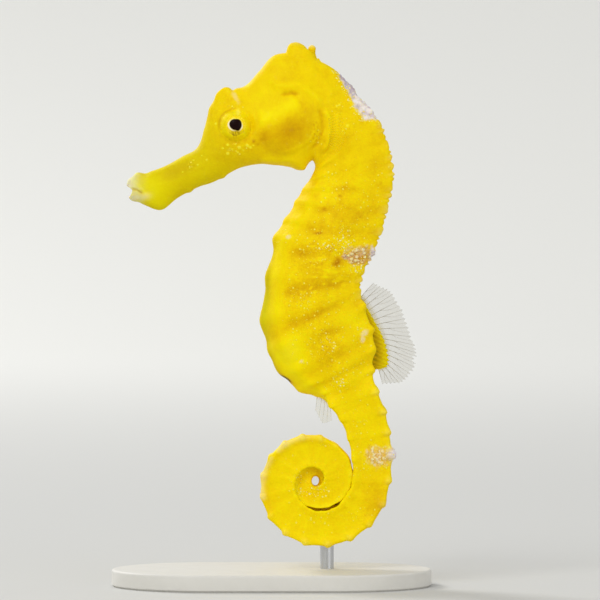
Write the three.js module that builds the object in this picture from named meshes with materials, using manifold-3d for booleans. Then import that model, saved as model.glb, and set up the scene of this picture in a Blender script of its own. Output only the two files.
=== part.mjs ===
// A yellow seahorse (Hippocampus kuda), life size and still, held upright on a plain display stand.
//
// Millimetres, +Z up. The origin is the centre of the stand's underside. The animal faces -X, its
// left side faces -Y, and it is symmetric about the plane Y = 0.
//
// The body is one continuous surface from the mouth to the tail's tip. It runs through stations,
// each a flat cross-section between a point on the back line and a point on the belly line. The
// surface is parted by thin cuts into the named lengths of the animal.
import * as THREE from "three";
import { mergeVertices } from "three/addons/utils/BufferGeometryUtils.js";
import Module from "manifold-3d";

const wasm = await Module();
wasm.setup();

// ---------------------------------------------------------------- driving dimensions

const PART_GAP = 0.3; // the thin cut between neighbouring pieces

const BASE_LENGTH = 56;
const BASE_WIDTH = 36;
const BASE_THICKNESS = 3;
const BASE_CHAMFER = 0.4;
const ROD_RADIUS = 1.2;
const ROD_X = 9.7;
const ROD_TOP = 9.4; // the rod ends inside the lowest turn of the tail
const ROD_SIDES = 24;

const COIL_CENTRE = [7.7, 18.4];
const COIL_RADIUS = 13.1; // outer radius of the coil where it begins, on its right
const COIL_VANISH = 1010; // degrees of turn after which the spiral would close to a point
const COIL_POWER = 1.6; // how fast the spiral tightens
const COIL_HOLE_RADIUS = 0.85;
const COIL_CLEARANCE = 0.35; // between one turn and the next
const COIL_RINGS = 32; // the last one is the tail's tip
const COIL_FIRST_STEP = 19.3; // degrees of turn from one ring to the next, at the coil's start
const COIL_STEP_GROWTH = 0.16; // degrees that each step gains on the one before, halved
const COIL_THICKNESS = 0.96; // the tail's thickness sideways as a share of its depth

const EYE_CENTRE = [-6.2, 3.0, 80.5]; // mirrored to -Y for the left eye
const EYE_RADIUS = 2.65;
const EYE_BULGE = 2.25; // the eyeball's radius sideways

const CROWN_CUT = 92.3; // level of the cut between the crown of the head and the coronet
const CORONET_TOP = 95; // level of its highest points
const CORONET_X = 4.75; // middle of its ring of points
const CORONET_LENGTH = 2; // across that ring, from the front point's middle to the rear ones'
const CORONET_LOBE = 1.05; // radius of each rounded point
const CORONET_POINTS = 5;
const KNOB_X = 7.3; // the small knob behind them
const KNOB_DROP = 0.25; // how far its top lies below theirs
const KNOB_RADIUS = 0.6;

const MOUTH_CORNER = [-22.5, 68.5];
const MOUTH_FRONT = -26; // just ahead of the snout's tip
const UPPER_LIP = 70; // levels of the lips there
const LOWER_LIP = 68.5;

const FIN_MEMBRANE = 0.5; // thicknesses
const FIN_RAY = 0.75;
const FIN_NOTCH = 0.25; // how far the margin draws in between two rays
const FIN_GAP = 0.35; // between a fin's foot and the body
const DORSAL_RAYS = 18;
const DORSAL_FLESH = 1.2; // thickness of the fleshy ridge that the dorsal fin stands on
const ANAL_RAYS = 4;
const PECTORAL_RAYS = 8;
const PECTORAL_LENGTH = 3.2;
const PECTORAL_GAP = 0.55;
const PECTORAL_FLARE = 0.42; // how far its rays stand out sideways for each millimetre back
const PECTORAL_TOP_RAY = 38; // degrees above the level
const PECTORAL_LOW_RAY = -42;

// Where the thin cuts part the body, in stations from the muzzle.
const SNOUT_END = 6.5;
const HEAD_END = 13.5;
const NECK_END = 17.5;
const TRUNK_UPPER_END = 21.5;
const TRUNK_MIDDLE_END = 25.5;
const TRUNK_LOWER_END = 28.5;
const COIL_CUTS = [0, 6, 12, 17, 24, 31]; // in rings from where the coil begins

// How finely the solids follow the body's surface.
const SNOUT_SIDES = 20;
const HEAD_SIDES = 28;
const NECK_SIDES = 24;
const SLENDER_SIDES = 8; // on the inner turns of the coil

// ---------------------------------------------------------------- cross-sections

// Half outlines, each as nine points from the belly line round one side to the back line:
// [height from belly to back, width as a share of the half width].
const PROFILES = {
  round: Array.from({ length: 9 }, (_, i) => [
    (1 - Math.cos((i * Math.PI) / 8)) / 2,
    Math.sin((i * Math.PI) / 8),
  ]),
  cheek: [
    [0, 0], [0.04, 0.42], [0.15, 0.74], [0.3, 0.95], [0.46, 1], [0.64, 0.88], [0.82, 0.64], [0.955, 0.36],
    [1, 0],
  ],
  heptagon: [
    [0, 0], [0.05, 0.33], [0.16, 0.66], [0.34, 0.86], [0.55, 1], [0.77, 0.84], [0.98, 0.58], [0.985, 0.29],
    [0.965, 0],
  ],
  square: [
    [0.04, 0], [0.02, 0.5], [0.05, 1], [0.27, 0.93], [0.5, 0.91], [0.73, 0.93], [0.95, 1], [0.98, 0.5],
    [0.96, 0],
  ],
};
const SIDES = 16; // directions round the body
const BELLY_LINE = 0;
const BACK_LINE = 8;

// back and belly are [x, z] on the plane of symmetry, and half is half the width.
const HEAD_STATIONS = [
  { name: "muzzle", back: [-25.2, 70.2], belly: [-24.9, 68.3], half: 0.6, profile: "round" },
  { name: "lip", back: [-24.9, 71.1], belly: [-24.4, 67.6], half: 1.25, profile: "round" },
  { name: "mouth", back: [-23.7, 72.1], belly: [-22.5, 66.8], half: 1.9, profile: "round" },
  { name: "jaw", back: [-21.4, 72.5], belly: [-19.3, 65.8], half: 2.2, profile: "round" },
  { name: "snout", back: [-18.6, 73.5], belly: [-16.4, 67.9], half: 2.2, profile: "round" },
  { name: "snout_middle", back: [-15.7, 75.1], belly: [-13, 69.7], half: 2.3, profile: "round" },
  { name: "snout_root", back: [-13, 76.7], belly: [-9.9, 70.8], half: 2.6, profile: "round" },
  { name: "face", back: [-11.7, 80.1], belly: [-5.9, 73], half: 3.2, profile: "round" },
  { name: "orbit", back: [-10.6, 83.9], belly: [-2.4, 73.8], half: 3.8, profile: "cheek" },
  { name: "brow", back: [-8.1, 86.8], belly: [1, 73.6], half: 4.2, profile: "cheek" },
  { name: "temple", back: [-4.8, 87.4], belly: [3.2, 73.3], half: 4.6, profile: "cheek" },
  { name: "forehead", back: [-2.1, 90.1], belly: [4.8, 73], half: 4.9, profile: "cheek" },
  { name: "crown", back: [0.6, 92.9], belly: [5.9, 72.7], half: 5, profile: "cheek" },
  { name: "crown_rear", back: [5.3, 93.1], belly: [6.5, 73.6], half: 4.9, profile: "cheek" },
  { name: "nape", back: [8.1, 92], belly: [6.9, 74.4], half: 4.5, profile: "cheek" },
  { name: "neck", back: [11.1, 90.3], belly: [7.3, 74.4], half: 4.2, profile: "cheek" },
  { name: "neck_rear", back: [13.9, 87.7], belly: [7.6, 73.8], half: 4, profile: "cheek" },
  { name: "shoulder", back: [16.5, 84.5], belly: [7.6, 73.1], half: 3.9, profile: "heptagon" },
];

// One station on each bony ring of the trunk.
const TRUNK_STATIONS = [
  { name: "trunk_ring_1", back: [18.8, 81.2], belly: [7.3, 72.3], half: 3.9, profile: "heptagon" },
  { name: "trunk_ring_2", back: [20.6, 76.5], belly: [6.6, 71], half: 4, profile: "heptagon" },
  { name: "trunk_ring_3", back: [21.3, 71], belly: [5.5, 69.5], half: 4.2, profile: "heptagon" },
  { name: "trunk_ring_4", back: [20.4, 67.1], belly: [4.3, 67.2], half: 4.5, profile: "heptagon" },
  { name: "trunk_ring_5", back: [19.6, 63.3], belly: [2.5, 64], half: 4.8, profile: "heptagon" },
  { name: "trunk_ring_6", back: [18.2, 59.4], belly: [0.6, 60.7], half: 5.1, profile: "heptagon" },
  { name: "trunk_ring_7", back: [16.2, 55.1], belly: [-0.6, 54.1], half: 5.4, profile: "heptagon" },
  { name: "trunk_ring_8", back: [15.5, 51.8], belly: [-1.6, 46.5], half: 5.6, profile: "heptagon" },
  { name: "trunk_ring_9", back: [16.2, 48.6], belly: [-0.6, 41.2], half: 5.5, profile: "heptagon" },
  { name: "trunk_ring_10", back: [17.4, 45], belly: [2.2, 36.6], half: 5.1, profile: "heptagon" },
  { name: "trunk_ring_11", back: [17.9, 41.5], belly: [5, 34.3], half: 4.6, profile: "heptagon" },
];

// One station on each ring of the tail, down to where the coil begins.
const TAIL_STATIONS = [
  { name: "tail_ring_1", back: [17.4, 37.8], belly: [8, 33.2], half: 4.1, profile: "heptagon" },
  { name: "tail_ring_2", back: [18.6, 34.1], belly: [10.1, 31.4], half: 3.8, profile: "square" },
  { name: "tail_ring_3", back: [19.9, 30.5], belly: [12, 29], half: 3.6, profile: "square" },
  { name: "tail_ring_4", back: [20.6, 26.9], belly: [13.3, 25.8], half: 3.4, profile: "square" },
  { name: "tail_ring_5", back: [21, 22.8], belly: [14.2, 22.1], half: 3.3, profile: "square" },
];

function coilOuterRadius(turn) {
  return COIL_RADIUS * Math.max(0, 1 - turn / COIL_VANISH) ** COIL_POWER;
}

// The belly side of each turn lies just outside the back of the next turn in.
function coilInnerRadius(turn) {
  return Math.max(coilOuterRadius(turn + 360) + COIL_CLEARANCE, COIL_HOLE_RADIUS);
}

function coilPoint(turn, radius) {
  const angle = THREE.MathUtils.degToRad(-turn);
  return [COIL_CENTRE[0] + radius * Math.cos(angle), COIL_CENTRE[1] + radius * Math.sin(angle)];
}

function coilStation(ring) {
  const turn = COIL_FIRST_STEP * ring + COIL_STEP_GROWTH * ring * ring;
  const outer = coilOuterRadius(turn);
  const inner = coilInnerRadius(turn);
  return {
    name: "coil_ring_" + (ring + 1),
    back: coilPoint(turn, outer),
    belly: coilPoint(turn, inner),
    half: ((outer - inner) / 2) * COIL_THICKNESS,
    profile: "square",
  };
}

const STATIONS = [
  ...HEAD_STATIONS,
  ...TRUNK_STATIONS,
  ...TAIL_STATIONS,
  ...Array.from({ length: COIL_RINGS }, (_, ring) => coilStation(ring)),
];
const LAST = STATIONS.length - 1;

function stationIndex(name) {
  return STATIONS.findIndex((station) => station.name === name);
}

const SHOULDER = stationIndex("shoulder");
const TRUNK_START = stationIndex("trunk_ring_1");
const TRUNK_END = stationIndex("trunk_ring_11");
const COIL_START = stationIndex("coil_ring_1");
const COIL_SECOND_TURN = stationIndex("coil_ring_16");

// Every number of a station in one row, so that one spline blends them all.
const STATION_ROWS = STATIONS.map((station) => [
  ...station.back,
  ...station.belly,
  station.half,
  ...PROFILES[station.profile].flat(),
]);

// ---------------------------------------------------------------- the body's surface

function catmullRom(before, from, to, after, t) {
  const bend = 2 * before - 5 * from + 4 * to - after;
  const twist = -before + 3 * from - 3 * to + after;
  return 0.5 * (2 * from + (to - before) * t + bend * t * t + twist * t ** 3);
}

// The blended station at u, which counts stations from the muzzle.
function sectionAt(u) {
  const index = THREE.MathUtils.clamp(Math.floor(u), 0, LAST - 1);
  const from = STATION_ROWS[index];
  const to = STATION_ROWS[index + 1];
  const before = STATION_ROWS[index - 1] ?? from.map((value, i) => 2 * value - to[i]);
  const after = STATION_ROWS[index + 2] ?? to.map((value, i) => 2 * value - from[i]);
  const row = from.map((value, i) => catmullRom(before[i], value, to[i], after[i], u - index));
  const [backX, backZ, bellyX, bellyZ, half, ...profile] = row;
  return {
    back: new THREE.Vector3(backX, 0, backZ),
    belly: new THREE.Vector3(bellyX, 0, bellyZ),
    half,
    profile,
  };
}

// A point of the bare section at one of its directions, before ridges: [height, width, sideways sign].
function profileAt(profile, side) {
  const wrapped = THREE.MathUtils.euclideanModulo(side, SIDES);
  const mirrored = wrapped > SIDES / 2;
  const place = mirrored ? SIDES - wrapped : wrapped;
  const index = Math.min(Math.floor(place), SIDES / 2 - 1);
  const knot = (i, part) => {
    // Past the belly or the back line the half outline continues on the other side.
    if (i < 0) return profile[2 * -i + part] * (part ? -1 : 1);
    if (i > SIDES / 2) return profile[2 * (SIDES - i) + part] * (part ? -1 : 1);
    return profile[2 * i + part];
  };
  const blend = (part) =>
    catmullRom(
      knot(index - 1, part),
      knot(index, part),
      knot(index + 1, part),
      knot(index + 2, part),
      place - index,
    );
  return [blend(0), blend(1), mirrored ? -1 : 1];
}

const { smoothstep } = THREE.MathUtils;

// How much of the trunk's and of the tail's armour shows at u.
function trunkShare(u) {
  return smoothstep(u, SHOULDER - 1, TRUNK_START) * (1 - smoothstep(u, TRUNK_END, TRUNK_END + 2));
}

function tailShare(u) {
  const coiled = smoothstep(u, COIL_SECOND_TURN - 3, COIL_SECOND_TURN);
  return smoothstep(u, TRUNK_END - 1, TRUNK_END + 1) * (1 - 0.85 * coiled);
}

// A bony ring's swell: 1 on the ring, falling quickly behind it and rising slowly to the next one.
const RING_FALL = 0.35;
function ringSwell(u) {
  const phase = u - Math.floor(u);
  const fall = 1 - smoothstep(phase, 0, RING_FALL);
  const rise = smoothstep(phase, RING_FALL, 1) ** 2;
  return Math.max(fall, rise);
}

const RING_BAND = 0.18; // how far a whole ring stands above the skin between rings
// Lengthwise ridges and their height where they cross a ring, on the trunk and on the tail.
const RIDGES = [
  { side: 0, trunk: 0.35, tail: 0 },
  { side: 2, trunk: 0.5, tail: 0.5 },
  { side: 4, trunk: 0.38, tail: 0 },
  { side: 6, trunk: 0.5, tail: 0.8 },
];
const RIDGE_WIDTH = 0.45; // in sides
const RIDGE_BETWEEN_RINGS = 0.3; // a ridge's height between two rings, as a share of its full height

const FULL_ARMOUR_HALF = 3.3; // where the body is slimmer than this half width, its armour is lower

// The keel of the belly begins below the chest and ends before the tail.
function keelShare(u) {
  return smoothstep(u, TRUNK_START + 1, TRUNK_START + 5) * (1 - smoothstep(u, TRUNK_END - 3, TRUNK_END));
}

function armourHeight(u, side, half) {
  const fold = THREE.MathUtils.euclideanModulo(side, SIDES);
  const place = Math.min(fold, SIDES - fold);
  const swell = ringSwell(u);
  const slender = Math.min(1, half / FULL_ARMOUR_HALF);
  const shares = { trunk: trunkShare(u), tail: tailShare(u) };
  let height = RING_BAND * swell * slender * Math.max(shares.trunk, shares.tail);
  for (const ridge of RIDGES) {
    const near = Math.exp(-(((place - ridge.side) / RIDGE_WIDTH) ** 2));
    const crest = ridge.trunk * shares.trunk + ridge.tail * shares.tail * slender;
    const share = ridge.side === 0 ? keelShare(u) : 1;
    height += share * crest * near * (RIDGE_BETWEEN_RINGS + (1 - RIDGE_BETWEEN_RINGS) * swell);
  }
  return height;
}

// Knobs that grow out of the head's surface: the place they grow from, as station and direction on
// both sides, and the way, height and reach of their growth.
const HEAD_KNOBS = [
  { name: "brow spine", at: ["brow", 7], way: [-0.4, 0.2, 0.9], height: 1.1, reach: 1.25 },
  { name: "cheek spine", at: ["crown", 1.1], way: [0.1, 0.3, -0.95], height: 0.6, reach: 1.1 },
  { name: "cheek plate", at: ["temple", 4.2], way: [0, 1, 0], height: 0.35, reach: 2.8 },
  { name: "upper orbit", at: ["brow", 5.8], way: [0, 0.9, 0.3], height: 0.4, reach: 1.5 },
];

function barePoint(u, side) {
  const { back, belly, half, profile } = sectionAt(u);
  const [height, width, sign] = profileAt(profile, side);
  const point = belly.clone().lerp(back, height);
  point.y = width * half * sign;
  return point;
}

const KNOB_ROOTS = HEAD_KNOBS.map(({ at }) => barePoint(stationIndex(at[0]), at[1]));

const SMALL_STEP = 0.02; // for directions and speeds along the surface, in stations or sides

// The body's surface: u counts stations along it, and side goes from 0 at the belly line round to 16.
function bodyPoint(u, side) {
  const point = barePoint(u, side);
  const { back, belly, half } = sectionAt(u);
  const ahead = barePoint(u, side + SMALL_STEP);
  const behind = barePoint(u, side - SMALL_STEP);
  const tangent = ahead.sub(behind).normalize();
  const axis = back.sub(belly).cross(new THREE.Vector3(0, 1, 0)).normalize();
  const outward = axis.cross(tangent).normalize();
  const mirror = Math.sign(point.y);
  const grown = point.clone().addScaledVector(outward, armourHeight(u, side, half));
  HEAD_KNOBS.forEach((knob, i) => {
    const root = KNOB_ROOTS[i];
    const distance = Math.hypot(point.x - root.x, Math.abs(point.y) - root.y, point.z - root.z);
    const push = knob.height * Math.exp(-((distance / knob.reach) ** 2));
    grown.x += knob.way[0] * push;
    grown.y += knob.way[1] * push * mirror;
    grown.z += knob.way[2] * push;
  });
  return grown;
}

// ---------------------------------------------------------------- solids

// Six times the volume that a closed indexed mesh holds, negative if it is inside out.
function signedVolume(positions, index) {
  const corner = (i) => new THREE.Vector3().fromArray(positions, 3 * index[i]);
  let sum = 0;
  for (let i = 0; i < index.length; i += 3) sum += corner(i).dot(corner(i + 1).cross(corner(i + 2)));
  return sum;
}

// A closed mesh from a grid of points: rows of equal length that close on themselves, capped at both
// ends by a fan round the row's middle.
function capTube(rows) {
  const positions = rows.flat().flatMap((point) => point.toArray());
  const around = rows[0].length;
  const index = [];
  for (let row = 0; row < rows.length - 1; row++) {
    for (let i = 0; i < around; i++) {
      const next = (i + 1) % around;
      const near = row * around;
      const far = near + around;
      index.push(near + i, far + i, far + next);
      index.push(near + i, far + next, near + next);
    }
  }
  const middle = (row) =>
    row.reduce((sum, point) => sum.add(point), new THREE.Vector3()).divideScalar(row.length);
  positions.push(...middle(rows[0]).toArray(), ...middle(rows.at(-1)).toArray());
  const startCentre = rows.length * around;
  const lastRow = (rows.length - 1) * around;
  for (let i = 0; i < around; i++) {
    const next = (i + 1) % around;
    index.push(startCentre, i, next);
    index.push(startCentre + 1, lastRow + next, lastRow + i);
  }
  const geometry = new THREE.BufferGeometry();
  geometry.setAttribute("position", new THREE.Float32BufferAttribute(positions, 3));
  geometry.setIndex(signedVolume(positions, index) < 0 ? index.toReversed() : index);
  return geometry;
}

function middleAt(u) {
  const { back, belly } = sectionAt(u);
  return back.lerp(belly, 0.5);
}

// Half of the thin cut, in stations, at u.
function cutShare(u) {
  const speed = middleAt(u + SMALL_STEP).distanceTo(middleAt(u - SMALL_STEP)) / (2 * SMALL_STEP);
  return PART_GAP / 2 / speed;
}

const LEAST_STEP = 0.08; // the shortest step between two rows of points, in stations

// A length of the body from one station to another. stops are the places within each station step
// where a row of points lies, and sides is the number of points round it.
function bodyLength(from, to, stops, sides) {
  const start = from === 0 ? 0 : from + cutShare(from);
  const end = to === LAST ? LAST : to - cutShare(to);
  const places = [start];
  for (let station = Math.floor(from); station <= to; station++) {
    for (const stop of stops) {
      const place = station + stop;
      if (place > start + LEAST_STEP && place < end - LEAST_STEP) places.push(place);
    }
  }
  places.push(end);
  const rows = places.map((u) =>
    Array.from({ length: sides }, (_, i) => bodyPoint(u, (i * SIDES) / sides)),
  );
  return capTube(rows);
}

function toManifold(geometry) {
  const bare = geometry.clone();
  bare.deleteAttribute("normal");
  bare.deleteAttribute("uv");
  const merged = mergeVertices(bare, 1e-4);
  return new wasm.Manifold(
    new wasm.Mesh({
      numProp: 3,
      vertProperties: new Float32Array(merged.attributes.position.array),
      triVerts: new Uint32Array(merged.index.array),
    }),
  );
}

function toGeometry(manifold) {
  const mesh = manifold.getMesh();
  const geometry = new THREE.BufferGeometry();
  geometry.setAttribute("position", new THREE.BufferAttribute(mesh.vertProperties, 3));
  geometry.setIndex(new THREE.BufferAttribute(mesh.triVerts, 1));
  return geometry;
}

function cut(geometry, ...tools) {
  return toGeometry(tools.reduce((solid, tool) => solid.subtract(toManifold(tool)), toManifold(geometry)));
}

function join(...geometries) {
  return toGeometry(geometries.map(toManifold).reduce((solid, next) => solid.add(next)));
}

function eyeball(side, extra = 0) {
  const ball = new THREE.SphereGeometry(1, 18, 13);
  ball.rotateX(Math.PI / 2);
  ball.scale(EYE_RADIUS + extra, EYE_BULGE + extra, EYE_RADIUS + extra);
  return ball.translate(EYE_CENTRE[0], EYE_CENTRE[1] * side, EYE_CENTRE[2]);
}

// Places within each station step where a row of points lies.
const SMOOTH_STOPS = [0, 0.5];
const RING_STOPS = [0, RING_FALL, 0.7];
const COIL_STOPS = [0, RING_FALL];

// ---------------------------------------------------------------- head

// The mouth is a wedge cut right through the tip of the snout.
function snout() {
  const width = 6;
  const outline = new THREE.Shape();
  outline.moveTo(...MOUTH_CORNER);
  outline.lineTo(MOUTH_FRONT, UPPER_LIP);
  outline.lineTo(MOUTH_FRONT, LOWER_LIP);
  outline.closePath();
  const wedge = new THREE.ExtrudeGeometry(outline, { depth: width, bevelEnabled: false });
  wedge.rotateX(Math.PI / 2).translate(0, width / 2, 0);
  return cut(bodyLength(0, SNOUT_END, SMOOTH_STOPS, SNOUT_SIDES), wedge);
}

function wholeHead() {
  return bodyLength(SNOUT_END, HEAD_END, SMOOTH_STOPS, HEAD_SIDES);
}

// A wide block that clears everything between two levels.
function slab(low, high) {
  return new THREE.BoxGeometry(100, 40, high - low).translate(0, 0, (low + high) / 2);
}

function head() {
  const sockets = [1, -1].map((side) => eyeball(side, PART_GAP));
  return cut(wholeHead(), ...sockets, slab(CROWN_CUT, CROWN_CUT + 10));
}

function standing(radiusTop, radiusFoot, height, x, top, sides) {
  const column = new THREE.CylinderGeometry(radiusTop, radiusFoot, height, sides);
  return column.rotateX(Math.PI / 2).translate(x, 0, top - height / 2);
}

// The top of the crown with a waist, a ring of rounded points on it and a small knob behind them.
function coronet() {
  const lobe = (x, y, top, radius) =>
    new THREE.SphereGeometry(radius, 10, 7).translate(x, y, top - radius);
  const waist = standing(1.6, 2, 2, 0, CORONET_TOP - CORONET_LOBE, 14);
  waist.scale(1.25, 0.8, 1).translate(CORONET_X, 0, 0);
  const points = Array.from({ length: CORONET_POINTS }, (_, i) => {
    const angle = (i * 2 * Math.PI) / CORONET_POINTS;
    const reach = CORONET_LENGTH / 2;
    return lobe(CORONET_X - reach * Math.cos(angle), reach * Math.sin(angle), CORONET_TOP, CORONET_LOBE);
  });
  const knobTop = CORONET_TOP - KNOB_DROP;
  const knob = lobe(KNOB_X, 0, knobTop, KNOB_RADIUS);
  const stalk = standing(0.45, 0.8, 2, KNOB_X - 0.3, knobTop - KNOB_RADIUS, 10);
  return cut(join(wholeHead(), waist, ...points, knob, stalk), slab(0, CROWN_CUT + PART_GAP));
}

// ---------------------------------------------------------------- fins

// A fan of rays with a thinner membrane between them. root(s) and tip(s) are points along the fin's
// foot and margin, s from 0 to 1, and across is the direction of its thickness. The lowest part of
// it, up to footShare(s) of each ray, is fleshy and has the foot's thickness.
function fin({ rays, root, tip, across, footShare = () => 0.12, footThickness = FIN_RAY }) {
  const columns = 2 * rays - 1;
  const sheet = (face) =>
    Array.from({ length: columns }, (_, column) => {
      const s = column / (columns - 1);
      const onRay = column % 2 === 0;
      const foot = root(s);
      const edge = tip(s);
      if (!onRay) edge.lerp(foot, FIN_NOTCH / edge.distanceTo(foot));
      const thickness = onRay ? FIN_RAY : FIN_MEMBRANE;
      const flesh = footShare(s);
      const rows = [
        [0, footThickness],
        [flesh, footThickness],
        [flesh + 0.08, thickness],
        [1, thickness],
      ];
      return rows.map(([height, width]) =>
        foot.clone().lerp(edge, height).addScaledVector(across, (face * width) / 2),
      );
    });
  // Each column is a closed loop that goes up one face and down the other.
  const front = sheet(1);
  const back = sheet(-1);
  return capTube(front.map((column, i) => [...column, ...back[i].toReversed()]));
}

function planeCurve(points) {
  return new THREE.CatmullRomCurve3(points.map(([x, z]) => new THREE.Vector3(x, 0, z)));
}

// A point just off the body's surface, on the line out from the middle of its section.
function offBody(u, side, gap) {
  const surface = bodyPoint(u, side);
  return surface.clone().add(surface.sub(middleAt(u)).setLength(gap));
}

const { lerp } = THREE.MathUtils;
const SIDEWAYS = new THREE.Vector3(0, 1, 0);

// It stands on a fleshy ridge that rises towards the tail.
function dorsalFin() {
  const margin = planeCurve([
    [17.9, 53.4], [21.3, 51.6], [23.5, 47.6], [25, 43], [25.3, 39.2], [23.4, 35.9], [19, 35.2],
  ]);
  const [first, last] = [TRUNK_END - 3.3, TRUNK_END + 0.9];
  return fin({
    rays: DORSAL_RAYS,
    root: (s) => offBody(lerp(first, last, s), BACK_LINE, FIN_GAP),
    tip: (s) => margin.getPoint(s),
    across: SIDEWAYS,
    footShare: (s) => 0.08 + 0.24 * s,
    footThickness: DORSAL_FLESH,
  });
}

function analFin() {
  const margin = planeCurve([[7.7, 30.4], [8.9, 28.6], [10.4, 28.9]]);
  const [first, last] = [TRUNK_END + 1.1, TRUNK_END + 1.9];
  return fin({
    rays: ANAL_RAYS,
    root: (s) => offBody(lerp(first, last, s), BELLY_LINE, FIN_GAP),
    tip: (s) => margin.getPoint(s),
    across: SIDEWAYS,
  });
}

// A small fan on each side of the neck, behind the gill cover, flared away from the flank.
function pectoralFin(side) {
  const top = { u: stationIndex("neck") + 0.4, side: 4.2 };
  const low = { u: stationIndex("neck_rear") + 0.4, side: 2.9 };
  const root = (s) => {
    const foot = offBody(lerp(top.u, low.u, s), lerp(top.side, low.side, s), PECTORAL_GAP);
    foot.y *= side;
    return foot;
  };
  const tip = (s) => {
    const fan = THREE.MathUtils.degToRad(lerp(PECTORAL_TOP_RAY, PECTORAL_LOW_RAY, s));
    const reach = PECTORAL_LENGTH * (0.8 + 0.2 * Math.sin(Math.PI * s));
    const way = new THREE.Vector3(Math.cos(fan), PECTORAL_FLARE * side, Math.sin(fan));
    return root(s).addScaledVector(way.normalize(), reach);
  };
  const across = new THREE.Vector3(-PECTORAL_FLARE, side, 0).normalize();
  return fin({ rays: PECTORAL_RAYS, root, tip, across });
}

// ---------------------------------------------------------------- stand

function standBase() {
  const radius = BASE_WIDTH / 2 - BASE_CHAMFER;
  const straight = (BASE_LENGTH - BASE_WIDTH) / 2;
  const outline = new THREE.Shape();
  outline.absarc(straight, 0, radius, -Math.PI / 2, Math.PI / 2, false);
  outline.absarc(-straight, 0, radius, Math.PI / 2, (3 * Math.PI) / 2, false);
  outline.closePath();
  const plate = new THREE.ExtrudeGeometry(outline, {
    depth: BASE_THICKNESS - 2 * BASE_CHAMFER,
    bevelThickness: BASE_CHAMFER,
    bevelSize: BASE_CHAMFER,
    bevelSegments: 1,
    curveSegments: 14,
  });
  return plate.translate(0, 0, BASE_CHAMFER);
}

function standRod() {
  return standing(ROD_RADIUS, ROD_RADIUS, ROD_TOP - BASE_THICKNESS, ROD_X, ROD_TOP, ROD_SIDES);
}

// The blind hole in the underside of the tail that the rod stands in.
function rodSocket() {
  const radius = ROD_RADIUS + PART_GAP;
  const top = ROD_TOP + PART_GAP;
  return standing(radius, radius, top, ROD_X, top, ROD_SIDES);
}

// ---------------------------------------------------------------- assembly

const SKIN = { color: 0xe8cc05, roughness: 0.55, metalness: 0 };
const EYE = { color: 0x2a1208, roughness: 0.1, metalness: 0 };
const FIN = { color: 0x9a935f, roughness: 0.4, metalness: 0, transparent: true, opacity: 0.5 };
const BASE = { color: 0xd9d7d0, roughness: 0.5, metalness: 0 };
const STEEL = { color: 0xb8bcc0, roughness: 0.3, metalness: 1 };

const seahorse = new THREE.Group();

function place(name, geometry, material) {
  const mesh = new THREE.Mesh(geometry, new THREE.MeshStandardMaterial(material));
  mesh.name = name;
  seahorse.add(mesh);
}

place("snout", snout(), SKIN);
place("head", head(), SKIN);
place("coronet", coronet(), SKIN);
place("eye_left", eyeball(-1), EYE);
place("eye_right", eyeball(1), EYE);
place("neck", bodyLength(HEAD_END, NECK_END, SMOOTH_STOPS, NECK_SIDES), SKIN);
place("trunk_upper", bodyLength(NECK_END, TRUNK_UPPER_END, RING_STOPS, SIDES), SKIN);
place("trunk_middle", bodyLength(TRUNK_UPPER_END, TRUNK_MIDDLE_END, RING_STOPS, SIDES), SKIN);
place("trunk_lower", bodyLength(TRUNK_MIDDLE_END, TRUNK_LOWER_END, RING_STOPS, SIDES), SKIN);
place("tail_1", bodyLength(TRUNK_LOWER_END, COIL_START, RING_STOPS, SIDES), SKIN);

COIL_CUTS.slice(0, -1).forEach((first, i) => {
  const from = COIL_START + first;
  const sides = from < COIL_SECOND_TURN ? SIDES : SLENDER_SIDES;
  const length = bodyLength(from, COIL_START + COIL_CUTS[i + 1], COIL_STOPS, sides);
  place("tail_" + (i + 2), first === 0 ? cut(length, rodSocket()) : length, SKIN);
});

place("dorsal_fin", dorsalFin(), FIN);
place("anal_fin", analFin(), FIN);
place("pectoral_fin_left", pectoralFin(-1), FIN);
place("pectoral_fin_right", pectoralFin(1), FIN);
place("stand_base", standBase(), BASE);
place("stand_rod", standRod(), STEEL);

export default seahorse;
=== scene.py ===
"""The looks of a yellow seahorse on its display stand.

Lengths are in millimetres, and become metres where a mesh is made. The animal faces -X, its left side
faces -Y and the camera, and Y = 0 is its plane of symmetry. One skin covers the whole body from the
mouth to the tip of the tail: it is lofted through the body's stations, then carved and coloured. Places
in pixels belong to a side view of 600 by 600 pixels, and seen() turns them into millimetres.
"""

import itertools
import math

import bpy
import mathutils
import numpy as np
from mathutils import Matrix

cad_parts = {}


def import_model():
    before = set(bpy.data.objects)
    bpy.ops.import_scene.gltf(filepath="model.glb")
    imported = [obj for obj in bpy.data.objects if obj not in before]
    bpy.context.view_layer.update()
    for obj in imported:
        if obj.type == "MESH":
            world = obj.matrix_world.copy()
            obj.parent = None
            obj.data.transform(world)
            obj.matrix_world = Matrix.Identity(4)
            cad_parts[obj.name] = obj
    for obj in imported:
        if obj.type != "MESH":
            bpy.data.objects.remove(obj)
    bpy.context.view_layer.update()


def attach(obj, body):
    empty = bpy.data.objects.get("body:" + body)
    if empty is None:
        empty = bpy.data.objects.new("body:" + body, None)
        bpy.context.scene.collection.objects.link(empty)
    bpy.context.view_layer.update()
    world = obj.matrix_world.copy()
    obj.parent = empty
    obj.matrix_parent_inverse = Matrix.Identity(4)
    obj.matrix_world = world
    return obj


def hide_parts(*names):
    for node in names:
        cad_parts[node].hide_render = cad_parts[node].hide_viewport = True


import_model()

MM = 0.001
PICTURE = 600  # pixels along each side of the side view
PIXEL = 0.175  # millimetres
ORIGIN_COLUMN = 271.5  # the pixel column at X = 0
PICTURE_TOP = 102.55  # height of the side view's upper edge


def seen(px, py):
    """The place (x, z) of a pixel of the side view."""
    return (px - ORIGIN_COLUMN) * PIXEL, PICTURE_TOP - PIXEL * py


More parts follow.
